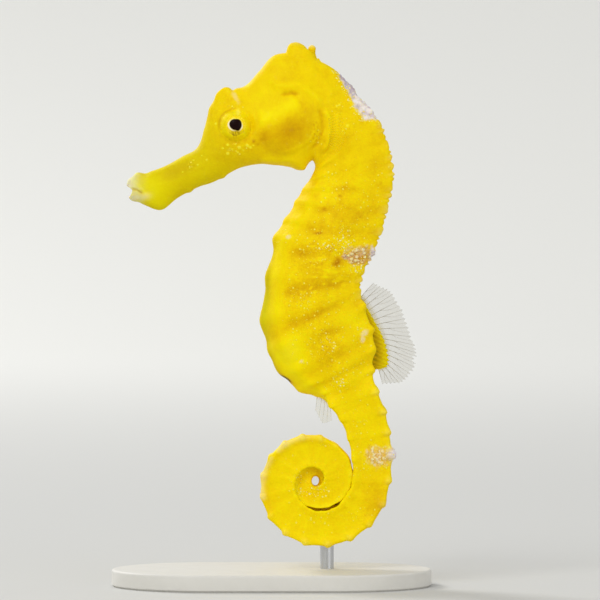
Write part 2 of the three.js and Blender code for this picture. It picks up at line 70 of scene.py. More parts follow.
def smoothstep(value, low, high):
    t = np.clip((value - low) / (high - low), 0, 1)
    return t * t * (3 - 2 * t)


def before(value, start, end):
    """1 up to start, and falling smoothly to 0 at end."""
    return 1 - smoothstep(value, start, end)


def window(value, low, full, ease, high):
    """Rises smoothly from low to full, and falls again from ease to high."""
    return smoothstep(value, low, full) * before(value, ease, high)


def hill(value, middle, width):
    """A bell curve, 1 at the middle."""
    return np.exp(-(((value - middle) / width) ** 2))


# ---- the body's stations

# Half outlines of a section, from the belly line to the back line: shares of its height and half width.
ROUND = [((1 - math.cos(i * math.pi / 8)) / 2, math.sin(i * math.pi / 8)) for i in range(9)]
CHEEK = [
    (0, 0), (0.04, 0.42), (0.15, 0.74), (0.3, 0.95), (0.46, 1), (0.64, 0.88), (0.82, 0.64), (0.955, 0.36),
    (1, 0),
]
HEPTAGON = [
    (0, 0), (0.05, 0.33), (0.16, 0.66), (0.34, 0.86), (0.55, 1), (0.77, 0.84), (0.98, 0.58), (0.985, 0.29),
    (0.965, 0),
]
SQUARE = [
    (0.04, 0), (0.02, 0.5), (0.05, 1), (0.27, 0.93), (0.5, 0.91), (0.73, 0.93), (0.95, 1), (0.98, 0.5),
    (0.96, 0),
]

# name: (point on the back line, point on the belly line, half width, half outline)
STATIONS = {
    "muzzle": ((-25.2, 70.2), (-24.9, 68.3), 0.6, ROUND),
    "lip": ((-24.9, 71.1), (-24.4, 67.6), 1.25, ROUND),
    "mouth": ((-23.7, 72.1), (-22.5, 66.8), 1.9, ROUND),
    "jaw": ((-21.4, 72.5), (-19.3, 65.8), 2.2, ROUND),
    "snout": ((-18.6, 73.5), (-16.4, 67.9), 2.2, ROUND),
    "snout_middle": ((-15.7, 75.1), (-13, 69.7), 2.3, ROUND),
    "snout_root": ((-13, 76.7), (-9.9, 70.8), 2.6, ROUND),
    "face": ((-11.7, 80.1), (-5.9, 73), 3.2, ROUND),
    "orbit": ((-10.6, 83.9), (-2.4, 73.8), 3.8, CHEEK),
    "brow": ((-8.1, 86.8), (1, 73.6), 4.2, CHEEK),
    "temple": ((-4.8, 87.4), (3.2, 73.3), 4.6, CHEEK),
    "forehead": ((-2.1, 90.1), (4.6, 72.85), 4.9, CHEEK),
    "crown": ((0.6, 92.9), (5.75, 72.9), 5, CHEEK),
    "crown_rear": ((5.3, 93.1), (6.3, 73.8), 4.9, CHEEK),
    "nape": ((8.1, 92), (6.9, 74.4), 4.5, CHEEK),
    "neck": ((11.1, 90.3), (7.3, 74.4), 4.2, CHEEK),
    "neck_rear": ((13.9, 87.7), (7.6, 73.8), 4, CHEEK),
    "shoulder": ((16.5, 84.5), (7.6, 73.1), 3.9, HEPTAGON),
    "trunk_ring_1": ((18.8, 81.2), (7.3, 72.3), 3.9, HEPTAGON),
    "trunk_ring_2": ((20.6, 76.5), (6.6, 71), 4, HEPTAGON),
    "trunk_ring_3": ((21.3, 71), (5.5, 69.5), 4.2, HEPTAGON),
    "trunk_ring_4": ((20.4, 67.1), (4.3, 67.2), 4.5, HEPTAGON),
    "trunk_ring_5": ((19.6, 63.3), (2.5, 64), 4.8, HEPTAGON),
    "trunk_ring_6": ((18.2, 59.4), (0.6, 60.7), 5.1, HEPTAGON),
    "trunk_ring_7": ((16.2, 55.1), (-0.6, 54.1), 5.4, HEPTAGON),
    "trunk_ring_8": ((15.5, 51.8), (-1.6, 46.5), 5.6, HEPTAGON),
    "trunk_ring_9": ((16.2, 48.6), (-0.6, 41.2), 5.5, HEPTAGON),
    "trunk_ring_10": ((17.4, 45), (2.2, 36.6), 5.1, HEPTAGON),
    "trunk_ring_11": ((17.9, 41.5), (5, 34.3), 4.6, HEPTAGON),
    "tail_ring_1": ((17.4, 37.8), (8, 33.2), 4.1, HEPTAGON),
    "tail_ring_2": ((18.6, 34.1), (10.1, 31.4), 3.8, SQUARE),
    "tail_ring_3": ((19.9, 30.5), (12, 29), 3.6, SQUARE),
    "tail_ring_4": ((20.6, 26.9), (13.3, 25.8), 3.4, SQUARE),
    "tail_ring_5": ((21, 22.8), (14.05, 22.05), 3.3, SQUARE),
}
COIL_CENTRE = np.array([7.7, 18.4])
COIL_RADIUS = 13.0
COIL_RINGS = 36
COIL_FIRST_STEP = 19.3  # degrees from the coil's start to its second ring, nearly
COIL_STEP_GROWTH = 0.16
COIL_VANISH = 1010  # degrees of turn at which the coil would shrink to nothing
COIL_POWER = 1.6
COIL_MEETING = 334  # degrees of turn at which the coil first touches the tail that comes down to it
COIL_BULGE = 0.24  # how far it swells there
COIL_BULGE_WIDTH = 26
COIL_HOLE_RADIUS = 0.78
COIL_PRESS = 0.42  # how far each turn rests on the one inside it
COIL_LEAST_HEIGHT = 0.24
COIL_THICKNESS = 0.96


def coil_turn(ring):
    """Degrees of turn from the coil's start to a ring, which needn't be a whole number."""
    return COIL_FIRST_STEP * ring + COIL_STEP_GROWTH * ring * ring


def coil_outer(turn):
    shrunk = max(0, 1 - turn / COIL_VANISH) ** COIL_POWER
    return COIL_RADIUS * shrunk + COIL_BULGE * hill(turn, COIL_MEETING, COIL_BULGE_WIDTH)


def coil_station(ring):
    turn = coil_turn(ring)
    inner = max(coil_outer(turn + 360) - COIL_PRESS * min(1, (turn + 30) / 60), COIL_HOLE_RADIUS)
    outer = max(coil_outer(turn), inner + COIL_LEAST_HEIGHT)
    way = np.array([math.cos(math.radians(-turn)), math.sin(math.radians(-turn))])
    return COIL_CENTRE + outer * way, COIL_CENTRE + inner * way, (outer - inner) / 2 * COIL_THICKNESS, SQUARE


NAMES = list(STATIONS) + [f"coil_ring_{i + 1}" for i in range(COIL_RINGS)]
ROWS = np.array(
    [
        [*back, *belly, half, *(h for h, _ in outline), *(w for _, w in outline)]
        for back, belly, half, outline in [*STATIONS.values(), *(coil_station(i) for i in range(COIL_RINGS))]
    ]
)
PLACE = {name: i for i, name in enumerate(NAMES)}
LAST = len(NAMES) - 1
SHOULDER = PLACE["shoulder"]
TRUNK_START = PLACE["trunk_ring_1"]
TRUNK_END = PLACE["trunk_ring_11"]
COIL_START = PLACE["coil_ring_1"]
COIL_SECOND_TURN = PLACE["coil_ring_16"]
SIDES = 16  # directions round the body: 0 is the belly line and 8 the back line


def fold_of(side):
    """The direction on the left side that mirrors side, from 0 on the belly line to 8 on the back line."""
    return np.minimum(np.mod(side, SIDES), SIDES - np.mod(side, SIDES))


def spline(rows, place, before_first, after_last):
    """Catmull-Rom through rows, at places counted in rows."""
    padded = np.vstack([before_first, rows, after_last])
    index = np.clip(np.floor(place).astype(int), 0, len(rows) - 2)
    t = (place - index)[:, None]
    a, b, c, d = (padded[index + k] for k in range(4))
    return 0.5 * (2 * b + (c - a) * t + (2 * a - 5 * b + 4 * c - d) * t**2 + (3 * b - a - 3 * c + d) * t**3)


def sections(u):
    """Back points, belly points, half widths and half outlines (heights, widths) at places u."""
    rows = spline(ROWS, u, 2 * ROWS[0] - ROWS[1], 2 * ROWS[-1] - ROWS[-2])
    return rows[:, 0:2], rows[:, 2:4], rows[:, 4], rows[:, 5:14], rows[:, 14:23]


def bare_surface(u, side):
    """Points of the plain loft, (len(u), len(side), 3)."""
    back, belly, half, heights, widths = sections(u)
    sign = np.where(np.mod(side, SIDES) > SIDES / 2, -1.0, 1.0)
    height = spline(heights.T, fold_of(side), heights.T[1], heights.T[-2]).T
    width = spline(widths.T, fold_of(side), -widths.T[1], -widths.T[-2]).T
    flat = belly[:, None, :] + (back - belly)[:, None, :] * height[:, :, None]
    return np.stack([flat[..., 0], width * sign * half[:, None], flat[..., 1]], axis=-1)


# ---- noise and distances


def hashed(ix, iy, iz, seed):
    """A pseudo-random number from 0 to 1 for each lattice point."""
    n = (ix * 374761393 + iy * 668265263 + iz * 2147483647 + seed * 144665) & 0xFFFFFFFF
    n = ((n ^ (n >> 13)) * 1274126177) & 0xFFFFFFFF
    return ((n ^ (n >> 16)) & 0xFFFF) / 65535.0


def noise(points, cell, seed=0):
    """Smooth noise from -1 to 1 that varies over about one cell."""
    place = points / cell
    base = np.floor(place).astype(np.int64)
    ease = place - base
    ease = ease * ease * (3 - 2 * ease)
    total = np.zeros(points.shape[:-1])
    for step in itertools.product((0, 1), repeat=3):
        x, y, z = (ease[..., k] if step[k] else 1 - ease[..., k] for k in range(3))
        total += x * y * z * hashed(*(base[..., k] + step[k] for k in range(3)), seed)
    return 2 * total - 1


def bumps(points, cell, seed=0):
    """Rounded grains, one in each cell: 1 at a grain's middle and 0 between grains."""
    place = points / cell
    base = np.floor(place).astype(np.int64)
    nearest = np.full(points.shape[:-1], 9.0)
    for step in itertools.product((-1, 0, 1), repeat=3):
        at = [base[..., k] + step[k] for k in range(3)]
        gap = sum((at[k] + hashed(*at, seed + k) - place[..., k]) ** 2 for k in range(3))
        nearest = np.minimum(nearest, gap)
    return np.clip(1 - np.sqrt(nearest) / 0.75, 0, 1)


def line_distance(x, z, pixels):
    """Distance in side view from each point to a line of pixels, and how far along it the nearest one is."""
    line = np.array([seen(*pixel) for pixel in pixels])
    lengths = np.hypot(*(line[1:] - line[:-1]).T)
    best = np.full(x.shape, 1e9)
    along = np.zeros(x.shape)
    done = 0.0
    for a, b, length in zip(line[:-1], line[1:], lengths):
        way = (b - a) / length
        t = np.clip((x - a[0]) * way[0] + (z - a[1]) * way[1], 0, length)
        gap = np.hypot(x - a[0] - way[0] * t, z - a[1] - way[1] * t)
        closer = gap < best
        best = np.where(closer, gap, best)
        along = np.where(closer, (done + t) / lengths.sum(), along)
        done += length
    return best, along


# ---- the armour of bony rings

RING_FALL = 0.35  # share of a ring over which its edge falls off
BAND = 0.07  # height of a ring's edge all round
KEEL = 0  # direction of the ridge along the belly, which only the trunk has
LOW_RIDGE = 2  # direction of the ridge that ends where the coil starts
BACK_RIDGE = 6  # direction of the ridge that rises to a point on each ring
# (direction, height on the trunk, height on the tail)
RIDGES = [(KEEL, 0.32, 0.0), (LOW_RIDGE, 0.3, 0.3), (4, 0.1, 0.0), (BACK_RIDGE, 0.16, 0.62)]
FULL_HALF_WIDTH = 3.3  # a slimmer body has lower ridges


def ring_swell(u):
    """1 at each ring's edge: it rises slowly before it and falls off quickly after it."""
    phase = u - np.floor(u)
    on_tail = smoothstep(u, TRUNK_END, TRUNK_END + 2)
    fall = RING_FALL - 0.15 * on_tail
    return np.maximum(before(phase, 0, fall), smoothstep(phase, fall, 1) ** (2 + on_tail))


def armour(u, side, half):
    """Height of the rings and ridges over the plain loft."""
    swell = ring_swell(u)[:, None]
    slender = np.minimum(1, half / FULL_HALF_WIDTH)[:, None]
    trunk = window(u, SHOULDER - 1, TRUNK_START, TRUNK_END, TRUNK_END + 2)[:, None]
    coiled = smoothstep(u, COIL_SECOND_TURN - 3, COIL_SECOND_TURN)
    tail = (smoothstep(u, TRUNK_END - 1, TRUNK_END + 1) * (1 - 0.85 * coiled))[:, None]
    plain = 1 - 0.8 * trunk * before(u, TRUNK_START + 2, TRUNK_START + 6)[:, None]
    height = BAND * swell * slender * np.maximum(trunk, tail) * plain * np.ones((1, len(side)))
    shares = {
        KEEL: window(u, TRUNK_START + 1, TRUNK_START + 5, TRUNK_END - 3, TRUNK_END)[:, None],
        LOW_RIDGE: before(u, COIL_START - 2, COIL_START + 1)[:, None],
    }
    for at, on_trunk, on_tail in RIDGES:
        crest = on_trunk * trunk + on_tail * tail * slender
        pointed = swell**1.6 if at == BACK_RIDGE else swell
        height = height + shares.get(at, 1) * crest * hill(fold_of(side), at, 0.5) * (0.3 + 0.7 * pointed)
    return height


# (place, direction), way of growth, height, reach: knobs that stand out of the head
HEAD_KNOBS = [
    ((PLACE["brow"], 7), (-0.4, 0.2, 0.9), 0.85, 1.1),
    ((PLACE["orbit"] + 0.62, 7.3), (-0.8, 0.15, 0.5), 0.62, 1.15),
    ((PLACE["face"] + 0.95, 7.6), (-0.9, 0, 0.2), 0.25, 0.9),
    ((PLACE["crown"] - 0.3, 1.1), (0, 0.3, -0.95), 0.5, 1.5),
    ((PLACE["temple"], 4.2), (0, 1, 0), 0.35, 2.8),
    ((PLACE["brow"], 5.8), (0, 0.9, 0.3), 0.4, 1.5),
]

# ---- the skin's grid

COLUMNS = 240
CLOSER_AT_BACK = 0.35  # how much closer together the columns are on the back than on average
# place: distance there between the skin's rows
ROW_STEPS = {
    0: 0.11, 6: 0.13, 10: 0.14, 12: 0.1, 15: 0.1, 16: 0.15, 19: 0.15, COIL_START: 0.15,
    COIL_SECOND_TURN: 0.15, LAST: 0.12,
}
MOUTH_REACH = 3.4  # stations from the muzzle over which the rows are drawn back
MOUTH_CORNER = 1.35  # the station where the skin starts at the mouth's corners
LOWER_LIP = 0.35  # and on the lower lip


def row_places():
    """Places of the skin's rows, spaced by ROW_STEPS along the body and not much wider along its back."""
    fine = np.linspace(0, LAST, 6000)
    back, belly, _, _, _ = sections(fine)
    step = np.hypot(*np.diff((back + belly) / 2, axis=0).T)
    spread = np.hypot(*np.diff(back, axis=0).T)
    travel = np.maximum(step, 0.75 * spread)
    wanted = np.interp(fine[:-1], list(ROW_STEPS), list(ROW_STEPS.values()))
    rows = np.concatenate([[0], np.cumsum(travel / wanted)])
    return np.interp(np.linspace(0, rows[-1], int(rows[-1])), rows, fine)


U = row_places()
lap = np.arange(COLUMNS) / COLUMNS
SIDE = SIDES * (lap + CLOSER_AT_BACK / (2 * math.pi) * np.sin(2 * math.pi * lap))


def unit(ways):
    return ways / np.maximum(np.linalg.norm(ways, axis=-1, keepdims=True), 1e-9)


def mouth_place(u, fold):
    """Rows near the muzzle start further back on the sides, so that the mouth is a notch between two lips."""
    upper = np.clip((fold - 4) / 4, 0, 1) ** 0.75
    lower = np.clip((4 - fold) / 4, 0, 1) ** 0.75
    rim = MOUTH_CORNER * (1 - upper - lower) + LOWER_LIP * lower
    return rim + u * (MOUTH_REACH - rim) / MOUTH_REACH


def body_surface(u, side):
    """The plain loft with the mouth's notch."""
    points = bare_surface(u, side)
    front = int(np.searchsorted(u, MOUTH_REACH))
    for j, fold in enumerate(fold_of(side)):
        points[:front, j] = bare_surface(mouth_place(u[:front], fold), side[j : j + 1])[:, 0]
    return points


bare = body_surface(U, SIDE)
back, belly, half, _, _ = sections(U)
around = body_surface(U, SIDE + 0.02) - body_surface(U, SIDE - 0.02)
across = np.stack([(back - belly)[:, 0], np.zeros(len(U)), (back - belly)[:, 1]], axis=-1)
outward = unit(np.cross(np.cross(across, [0, 1, 0])[:, None, :], around))
skin = bare + outward * armour(U, SIDE, half)[..., None]
for (place, direction), (grow_x, grow_y, grow_z), height, reach in HEAD_KNOBS:
    root = bare_surface(np.array([float(place)]), np.array([float(direction)]))[0, 0]
    gap2 = ((bare * (1, 0, 1) + np.abs(bare) * (0, 1, 0) - root) ** 2).sum(axis=-1)
    push = height * np.exp(-gap2 / reach**2)
    skin += np.stack([push * grow_x, push * grow_y * np.sign(bare[..., 1]), push * grow_z], axis=-1)

normal = unit(np.cross(np.roll(skin, -1, axis=1) - np.roll(skin, 1, axis=1), np.gradient(skin, axis=0)))
X, Y, Z = (skin[..., k] for k in range(3))
UU = U[:, None] * np.ones((1, COLUMNS))
FOLD = fold_of(SIDE)[None, :] * np.ones((len(U), 1))
flank = smoothstep(np.abs(normal[..., 1]), 0.25, 0.6)  # where the surface faces sideways

# ---- masks for the colours

# tone runs from -1, deep orange-brown, over 0, the body's yellow, to 1, pale bright yellow; besides the
# body's own tones it carries painted shade and painted highlights. specks says how thickly pale dots lie.
# pale and pink are for rough patches, with pink toward the nape's back line standing for painted shade;
# cream is for warts and edges, with a painted rim highlight along some edges; and green is for a greenish
# tinge, which on the keel is painted shade. lift is the height added along the normal.
PAINTS = {name: np.zeros(UU.shape) for name in ("tone", "specks", "pale", "pink", "cream", "green", "lift")}
tone, specks, pale, pink, cream, green, lift = PAINTS.values()


def mark(where, **strengths):
    """Adds a marking to each of the named masks."""
    for name, strength in strengths.items():
        PAINTS[name] += strength * where


def ellipse(px, py, long, short, angle):
    """Places along both axes of an ellipse of pixels, whose long axis rises by angle to the right."""
    x, z = seen(px, py)
    a = math.radians(angle)
    p = ((X - x) * math.cos(a) + (Z - z) * math.sin(a)) / (long * PIXEL)
    q = ((Z - z) * math.cos(a) - (X - x) * math.sin(a)) / (short * PIXEL)
    return p, q


def blot(px, py, long, short=None, angle=0):
    """A soft-edged spot in side view."""
    p, q = ellipse(px, py, long, short or long, angle)
    return np.exp(-p * p - q * q)


def mound(px, py, long, short, angle=0, power=1.0):
    """A dome over an ellipse in side view."""
    p, q = ellipse(px, py, long, short, angle)
    return flank * np.clip(1 - p * p - q * q, 0, 1) ** power


def crest(pixels, width, ends=0.15):
    """1 along a line in side view, falling off over width pixels, and fading at its ends."""
    gap, along = line_distance(X, Z, pixels)
    return flank * window(along, -0.001, ends, 1 - ends, 1.001) * hill(gap, 0, width * PIXEL)


def add_spots(mask, where, spots):
    """Adds spots, whose last number is their strength, to a mask where the body allows them."""
    for *place, strength in spots:
        mask += strength * where * blot(*place)


on_head = before(UU, 16.8, 17.6)
on_trunk = window(UU, 16.5, 18, 28.5, 30.5)
on_tail = smoothstep(UU, 28.5, 30.5)
in_coil = smoothstep(UU, COIL_START - 1, COIL_START + 1)
second_turn = smoothstep(UU, COIL_SECOND_TURN - 2, COIL_SECOND_TURN + 4)

# ---- the head

# name: (pixels along it, half width, share over which its ends fade, height, change in tone). The fold's
# lighter tone is a painted highlight, and the darker tone of the gill opening and of the groove behind the
# gill cover is painted shade.
HEAD_LINES = {
    "fold above the gill cover": ([(257, 121), (275, 117.5), (290, 109), (301, 102)], 8, 0.15, 0.32, 0.68),
    "gill opening": ([(280, 97), (285, 94.5), (292, 93.5), (301, 95.5)], 2.1, 0.3, -0.34, -0.62),
    "ridge of the temple": (
        [(268, 78), (277, 86), (288, 87), (298, 85.5), (308, 91), (317, 99), (323, 108)],
        3.6, 0.15, 0.3, 0.16,
    ),
    "ridge of the nape": ([(306, 66), (318, 76), (328, 88), (334, 99)], 4, 0.15, 0.26, 0.1),
    "rim of the gill cover": (
        [(280, 153), (292, 150), (303, 144.5), (311, 138), (316, 129), (317, 117)], 1.7, 0.2, 0.12, 0.22,
    ),
    "shoulder girdle": ([(324, 108), (329, 119), (330, 131), (327, 145), (321, 153)], 2.6, 0.15, 0.42, 0.3),
    "line behind the girdle": ([(337, 112), (337.5, 128), (335, 143)], 2, 0.15, 0.16, 0.12),
    "groove behind the gill cover": (
        [(317, 106), (322, 117), (322.5, 130), (318, 143), (310, 151)], 2, 0.15, -0.24, -0.34,
    ),
    "edge of the jaw": ([(258, 158.5), (272, 160.5), (288, 160), (301, 163)], 3, 0.15, 0.18, 0.16),
}
GILL_COVER = (290, 129, 34, 24, 37, 0.75)
GILL_RAYS_FROM = (284, 132)
# a painted highlight over the eye: pixel, half length and half width
HIGHLIGHT_OVER_EYE = (238.3, 112.5, 1.6, 3.2)
BROW_NOTCH = (233, 89, 2.2, 4)
BROW_BAND = (235, 96, 7.5, 2.8, -62)
SNOUT_TOP_HIGHLIGHT = [(152, 171), (170, 163.5), (190, 154.5)]
# painted shade in the groove along the snout's side
SNOUT_HOLLOW = (176, 171, 26, 10, 24)  # its shade
SNOUT_GROOVE = (178, 172, 28, 7, 24)  # its depth
SNOUT_WARTS = [(223.6, 177.5, 3.2, 0.22), (190, 191, 3.2, 0.22)]
SNOUT_SPECKS = (192, 165, 9, 8, 30)
CHEEK_SPECKS = (238, 149, 20, 9)
BROW_SPECKS = (238, 112, 16, 10)
# Tones of the head, with painted shade in a hollow and a groove and a painted highlight over the eye:
# pixel, half length, half width, slope and change in tone.
HEAD_SHADES = [
    (291, 132, 11, 8, 0, -0.22),  # the gill cover's middle, and the hollow in front of it
    # painted shade in the hollow in front of the gill cover
    (262, 137, 8, 8, 0, -0.35),
    (287, 79, 12, 7, 10, -0.2),  # the temple
    # painted shade in the groove behind the gill cover:
    (325, 145, 7, 5, 60, -0.3),  # the groove behind the gill cover
    (262, 92, 22, 12, 0, 0.15),  # behind the brow
    (222, 152, 15, 14, 0, -0.22),  # the cheek
    (252, 148, 14, 16, 0, -0.16),
    (254, 141.7, 1.6, 1.6, 0, -0.7),  # two dark dots behind the eye
    (258, 145, 1.2, 1.2, 0, -0.35),
    # a painted highlight over the eye
    (*HIGHLIGHT_OVER_EYE, 0, 1.1),
    # the row of dark pores behind the gill cover
    *((316 - 0.09 * (k - 4) ** 2 + 1.3 * (-1) ** k, 123 + 2.2 * k, 0.9, 1.1, 0, -0.5) for k in range(9)),
]
# Pale dots that are larger than the rest: pixel and radius.
FACE_DOTS = [
    (228, 145, 1.4), (239.5, 147.5, 1.8), (247.5, 145.5, 1.7), (250.6, 147.6, 1.4), (228, 153.6, 1.7),
    (238, 152.6, 1.1), (223, 148.5, 1.1), (232.5, 149.5, 1.0), (235.5, 144.5, 0.9), (243.5, 150.5, 1.0),
    (253.5, 145.5, 0.9), (216, 124, 1.2), (336.5, 106.5, 1.3), (339.3, 105.4, 1.1), (347.3, 126.3, 1.7),
    (345, 137.5, 1.1), (349, 131, 0.9), (342.5, 131, 0.8), (207, 160, 1.1), (198, 165, 1.2),
    (194, 160.5, 0.9), (190, 168, 1.0), (202, 156, 0.8), (183, 172, 0.9),
]

# Each line is raised or sunk and its tone changed: painted highlight on the fold, painted shade in the two
# grooves.
for pixels, width, ends, height, shade in HEAD_LINES.values():
    mark(on_head * crest(pixels, width, ends), lift=height, tone=shade)
add_spots(tone, on_head, HEAD_SHADES)

# The gill cover: a swollen, deeper coloured plate with faint rays.
gill_cover = on_head * mound(*GILL_COVER)
ray_x, ray_z = X - seen(*GILL_RAYS_FROM)[0], Z - seen(*GILL_RAYS_FROM)[1]
rays = np.cos(17 * np.arctan2(ray_z, ray_x)) * smoothstep(np.hypot(ray_x, ray_z), 1.0, 2.5) * gill_cover
mark(gill_cover, lift=0.3, tone=-0.48)
mark(rays, lift=0.01, tone=0.035)

# The snout: a painted highlight along its top, a groove along its side with painted shade in it, and small
# bumps under it.
tone += 0.3 * crest(SNOUT_TOP_HIGHLIGHT, 2.6) - 0.42 * mound(*SNOUT_HOLLOW) - 0.2 * before(UU, 5, 9.5)
lift -= 0.12 * mound(*SNOUT_GROOVE)
green += 0.85 * before(UU, 5.5, 9)
add_spots(lift, 1, SNOUT_WARTS)
specks += 0.5 * mound(*SNOUT_SPECKS)

# The face: dots under the eye, a pale notch behind the brow spine, and a painted highlight over the eye.
specks += on_head * (0.3 * mound(*CHEEK_SPECKS) + 0.2 * mound(*BROW_SPECKS))
dots = smoothstep(on_head * sum(blot(*dot) for dot in FACE_DOTS), 0.25, 0.75)
mark(dots, cream=0.07, tone=1.9, lift=0.1)
lift -= 0.42 * on_head * blot(*BROW_NOTCH) * smoothstep(FOLD, 5.8, 7.2)
brow_band = smoothstep(blot(*BROW_BAND) + 0.3 * noise(skin, 0.45, 3), 0.15, 0.95)
cream += on_head * (0.5 * brow_band + 0.2 * blot(*HIGHLIGHT_OVER_EYE))

# ---- the trunk

# Tones of the trunk's flank, matched to how it looks lit: painted shade in the grooves between the rings and
# on the keel, painted highlights on ridges and on the bulge over the pouch, and broader darker and lighter
# areas. Pixel, half length, half width, slope and change in tone.
FLANK_SHADES = [
    (343, 187, 10, 4, 0, -0.32), (321, 209, 4, 3.4, 60, -0.34), (311, 225, 5, 7, 20, -0.24),
    (318, 233, 5, 1.8, 0, -0.34), (303, 252, 14, 8, 5, -0.22), (342, 170, 8, 5, 0, -0.15),
    (304, 286, 17, 6, 4, -0.12), (335, 284, 16, 3, 8, -0.12), (313, 315.5, 27, 3.2, 27, -0.32),
    (328, 331, 13, 2.6, 15, -0.26), (333, 352, 14, 9, 10, -0.26), (316, 275, 30, 50, 0, -0.16),
    (298, 386, 14, 5, -38, -0.1), (352, 310, 13, 14, 0, -0.2), (360, 215, 16, 15, 0, -0.1),
    (326, 186, 9, 14, -30, 0.22), (305, 215, 6, 16, -32, 0.2), (322, 258, 22, 4, 4, 0.22),
    (276, 298, 6.5, 34, 3, 0.28), (315, 299, 20, 5, 15, 0.2), (292, 349, 15, 12, 20, 0.4),
    (322, 398, 22, 10, -35, 0.2), (275, 334, 7, 14, 15, -0.5), (268, 302, 6, 34, 2, -0.3),
    (332, 224, 14, 12, 0, -0.2), (345, 142, 10, 14, 0, -0.3), (377, 166, 10, 40, -5, -0.16),
    (347, 302, 16, 5, 22, 0.18), (352, 376, 12, 20, 25, 0.12),
]
# Tones that reach round to the belly and the back: a painted highlight on the bulge over the pouch, painted
# shade on the keel, a lighter and a darker area; and four freckles.
TRUNK_SHADES = [
    (295, 352, 12, 20, 0, 0.5), (354, 320, 14, 11, 0, 0.65), (273, 288, 7, 14, 0, -0.35),
    (357, 213, 14, 14, 0, -0.25), (324, 209, 2.6, 2.6, 0, -0.65), (339.5, 196, 1.8, 1.4, 0, -0.6),
    (318, 233, 3.6, 1.1, 0, -0.6), (343, 188, 1.8, 1.2, 0, -0.4),
]
# painted shade on the keel, as a greenish tint:
KEEL_GREENISH_SHADE = (266, 302, 6, 34, 2, 0.8)
MOTTLES = [(317, 283, 28, 20, 1), (330, 250, 26, 12, 0.7), (325, 345, 22, 30, 0.5)]
BREAST = (335, 205, 42, 34)
POUCH = (290, 347, 19, 15, 20)
BACK_WARTS = [(364, 305), (373, 329), (378.5, 353), (376, 371)]  # along the foot of the dorsal fin
CREAM_WARTS = [
    (363.5, 333, 5, 3.4, 35), (362.5, 339, 3, 4.6, 10), (301.5, 361, 2.6, 2.2), (288.5, 237, 3, 2.4, 30),
]
VENT = (285.5, 378.5, 6.5, 2.2, -38)
BROWN_SPOT = [(339.5, 260, 5, 3.6, 35, 1), (334.5, 264.5, 3.6, 3, 0, 0.6), (346, 257, 3.4, 3, 0, 0.5)]
# The belly's outline: hollow between two rings of the breast and above the pouch, fuller at the pouch.
BELLY_FORMS = [
    (270, 252, 6, 10, -0.3), (264.5, 345, 7, 11, -0.45), (276, 369, 9, 9, 0.3), (302, 393, 11, 6, 0.26),
]

# The bony rings: grooves between them, and a hollow beside the ridge of each, both pressed in and darkened as
# painted shade, with a painted highlight on each ring's raised edge.
phase = UU - np.floor(UU)
groove = hill(phase, 0.42, 0.16) * on_trunk
lateral = window(FOLD, 1.9, 2.7, 5.2, 6.4)
uneven = (0.75 + 0.45 * noise(skin, 2.2, 11)) * (0.08 + 0.92 * smoothstep(UU, 20.5, 24))
hollow = groove * hill(FOLD, 2.8, 0.4) * before(UU, 25, 27)
plate = hill(phase, 0.95, 0.22) + hill(phase, -0.05, 0.22)
lift -= 0.1 * groove * lateral * uneven + 0.12 * hollow
tone -= (0.17 * groove * lateral + 0.2 * hollow) * uneven
tone += 0.1 * plate * on_trunk * before(FOLD, 5.5, 6.5)
tone += 0.3 * on_trunk * window(FOLD, 0.3, 1.0, 1.6, 2.6) * smoothstep(UU, 21, 23.5)
# The keel's face is greener and darker low on the trunk: painted shade where it turns away from the light.
mark(on_trunk * before(FOLD, 0.3, 1.3) * window(UU, 22, 24, 26.5, 28), green=0.65, tone=-0.3)
add_spots(green, on_trunk * flank, [KEEL_GREENISH_SHADE])

# The flank's painted shade and highlights and its mottled middle, the pouch and the warts of the back.
add_spots(tone, on_trunk * flank, FLANK_SHADES)
add_spots(tone, on_trunk, TRUNK_SHADES)
lift += 0.25 * on_trunk * mound(*POUCH)
mottled = on_trunk * flank * sum(strength * blot(*spot) for *spot, strength in MOTTLES)
streaks = smoothstep(noise(skin * (0.5, 1, 1), 0.42, 73), 0.15, 0.6) - 0.25
tone += mottled * (0.6 * streaks + 0.2 * noise(skin, 1.2, 74))
add_spots(lift, window(FOLD, 4.8, 6.2, 7, 7.8), [(px, py, 4.2, 3.6, 20, 0.5) for px, py in BACK_WARTS])
breast = on_trunk * blot(*BREAST)
tone += 0.35 * breast * noise(skin, 1.1, 91)
lift += 0.07 * breast * noise(skin, 1.3, 92) * lateral
under = on_trunk * before(FOLD, 0.9, 2.6)
add_spots(lift, under, BELLY_FORMS)
lift += 0.14 * under * plate * smoothstep(UU, 19.5, 21)
# The vent is pressed in and painted dark: painted shade in its opening.
mark(blot(*VENT) * before(FOLD, 1.9, 3.1), tone=-2.6, lift=-0.25)
ragged = 0.55 * noise(skin, 0.8, 21) + 0.35 * noise(skin, 0.35, 22)
for wart in CREAM_WARTS:
    cream += 0.85 * on_trunk * smoothstep(blot(*wart) + 0.35 * ragged, 0.35, 0.85)
brown_spot = on_trunk * sum(strength * blot(*spot) for *spot, strength in BROWN_SPOT)
tone -= 1.1 * brown_spot * smoothstep(noise(skin, 0.6, 75), -0.9, 0.3)

# ---- the tail

TAIL_SHADE = (378, 500, 14, 24, -0.5)
COIL_SHADE = (268, 500, 9, 14, -0.25)
# Degrees of turn between which a dark line is painted where two turns meet, as painted shadow: where the
# tail comes down beside the coil, and at its foot, where a crack is also carved.
CRACK_BESIDE = (334, 352)
CRACK_FOOT = (398, 466)
CRACK_SOFT = 14

first_turn = on_tail * (1 - second_turn)
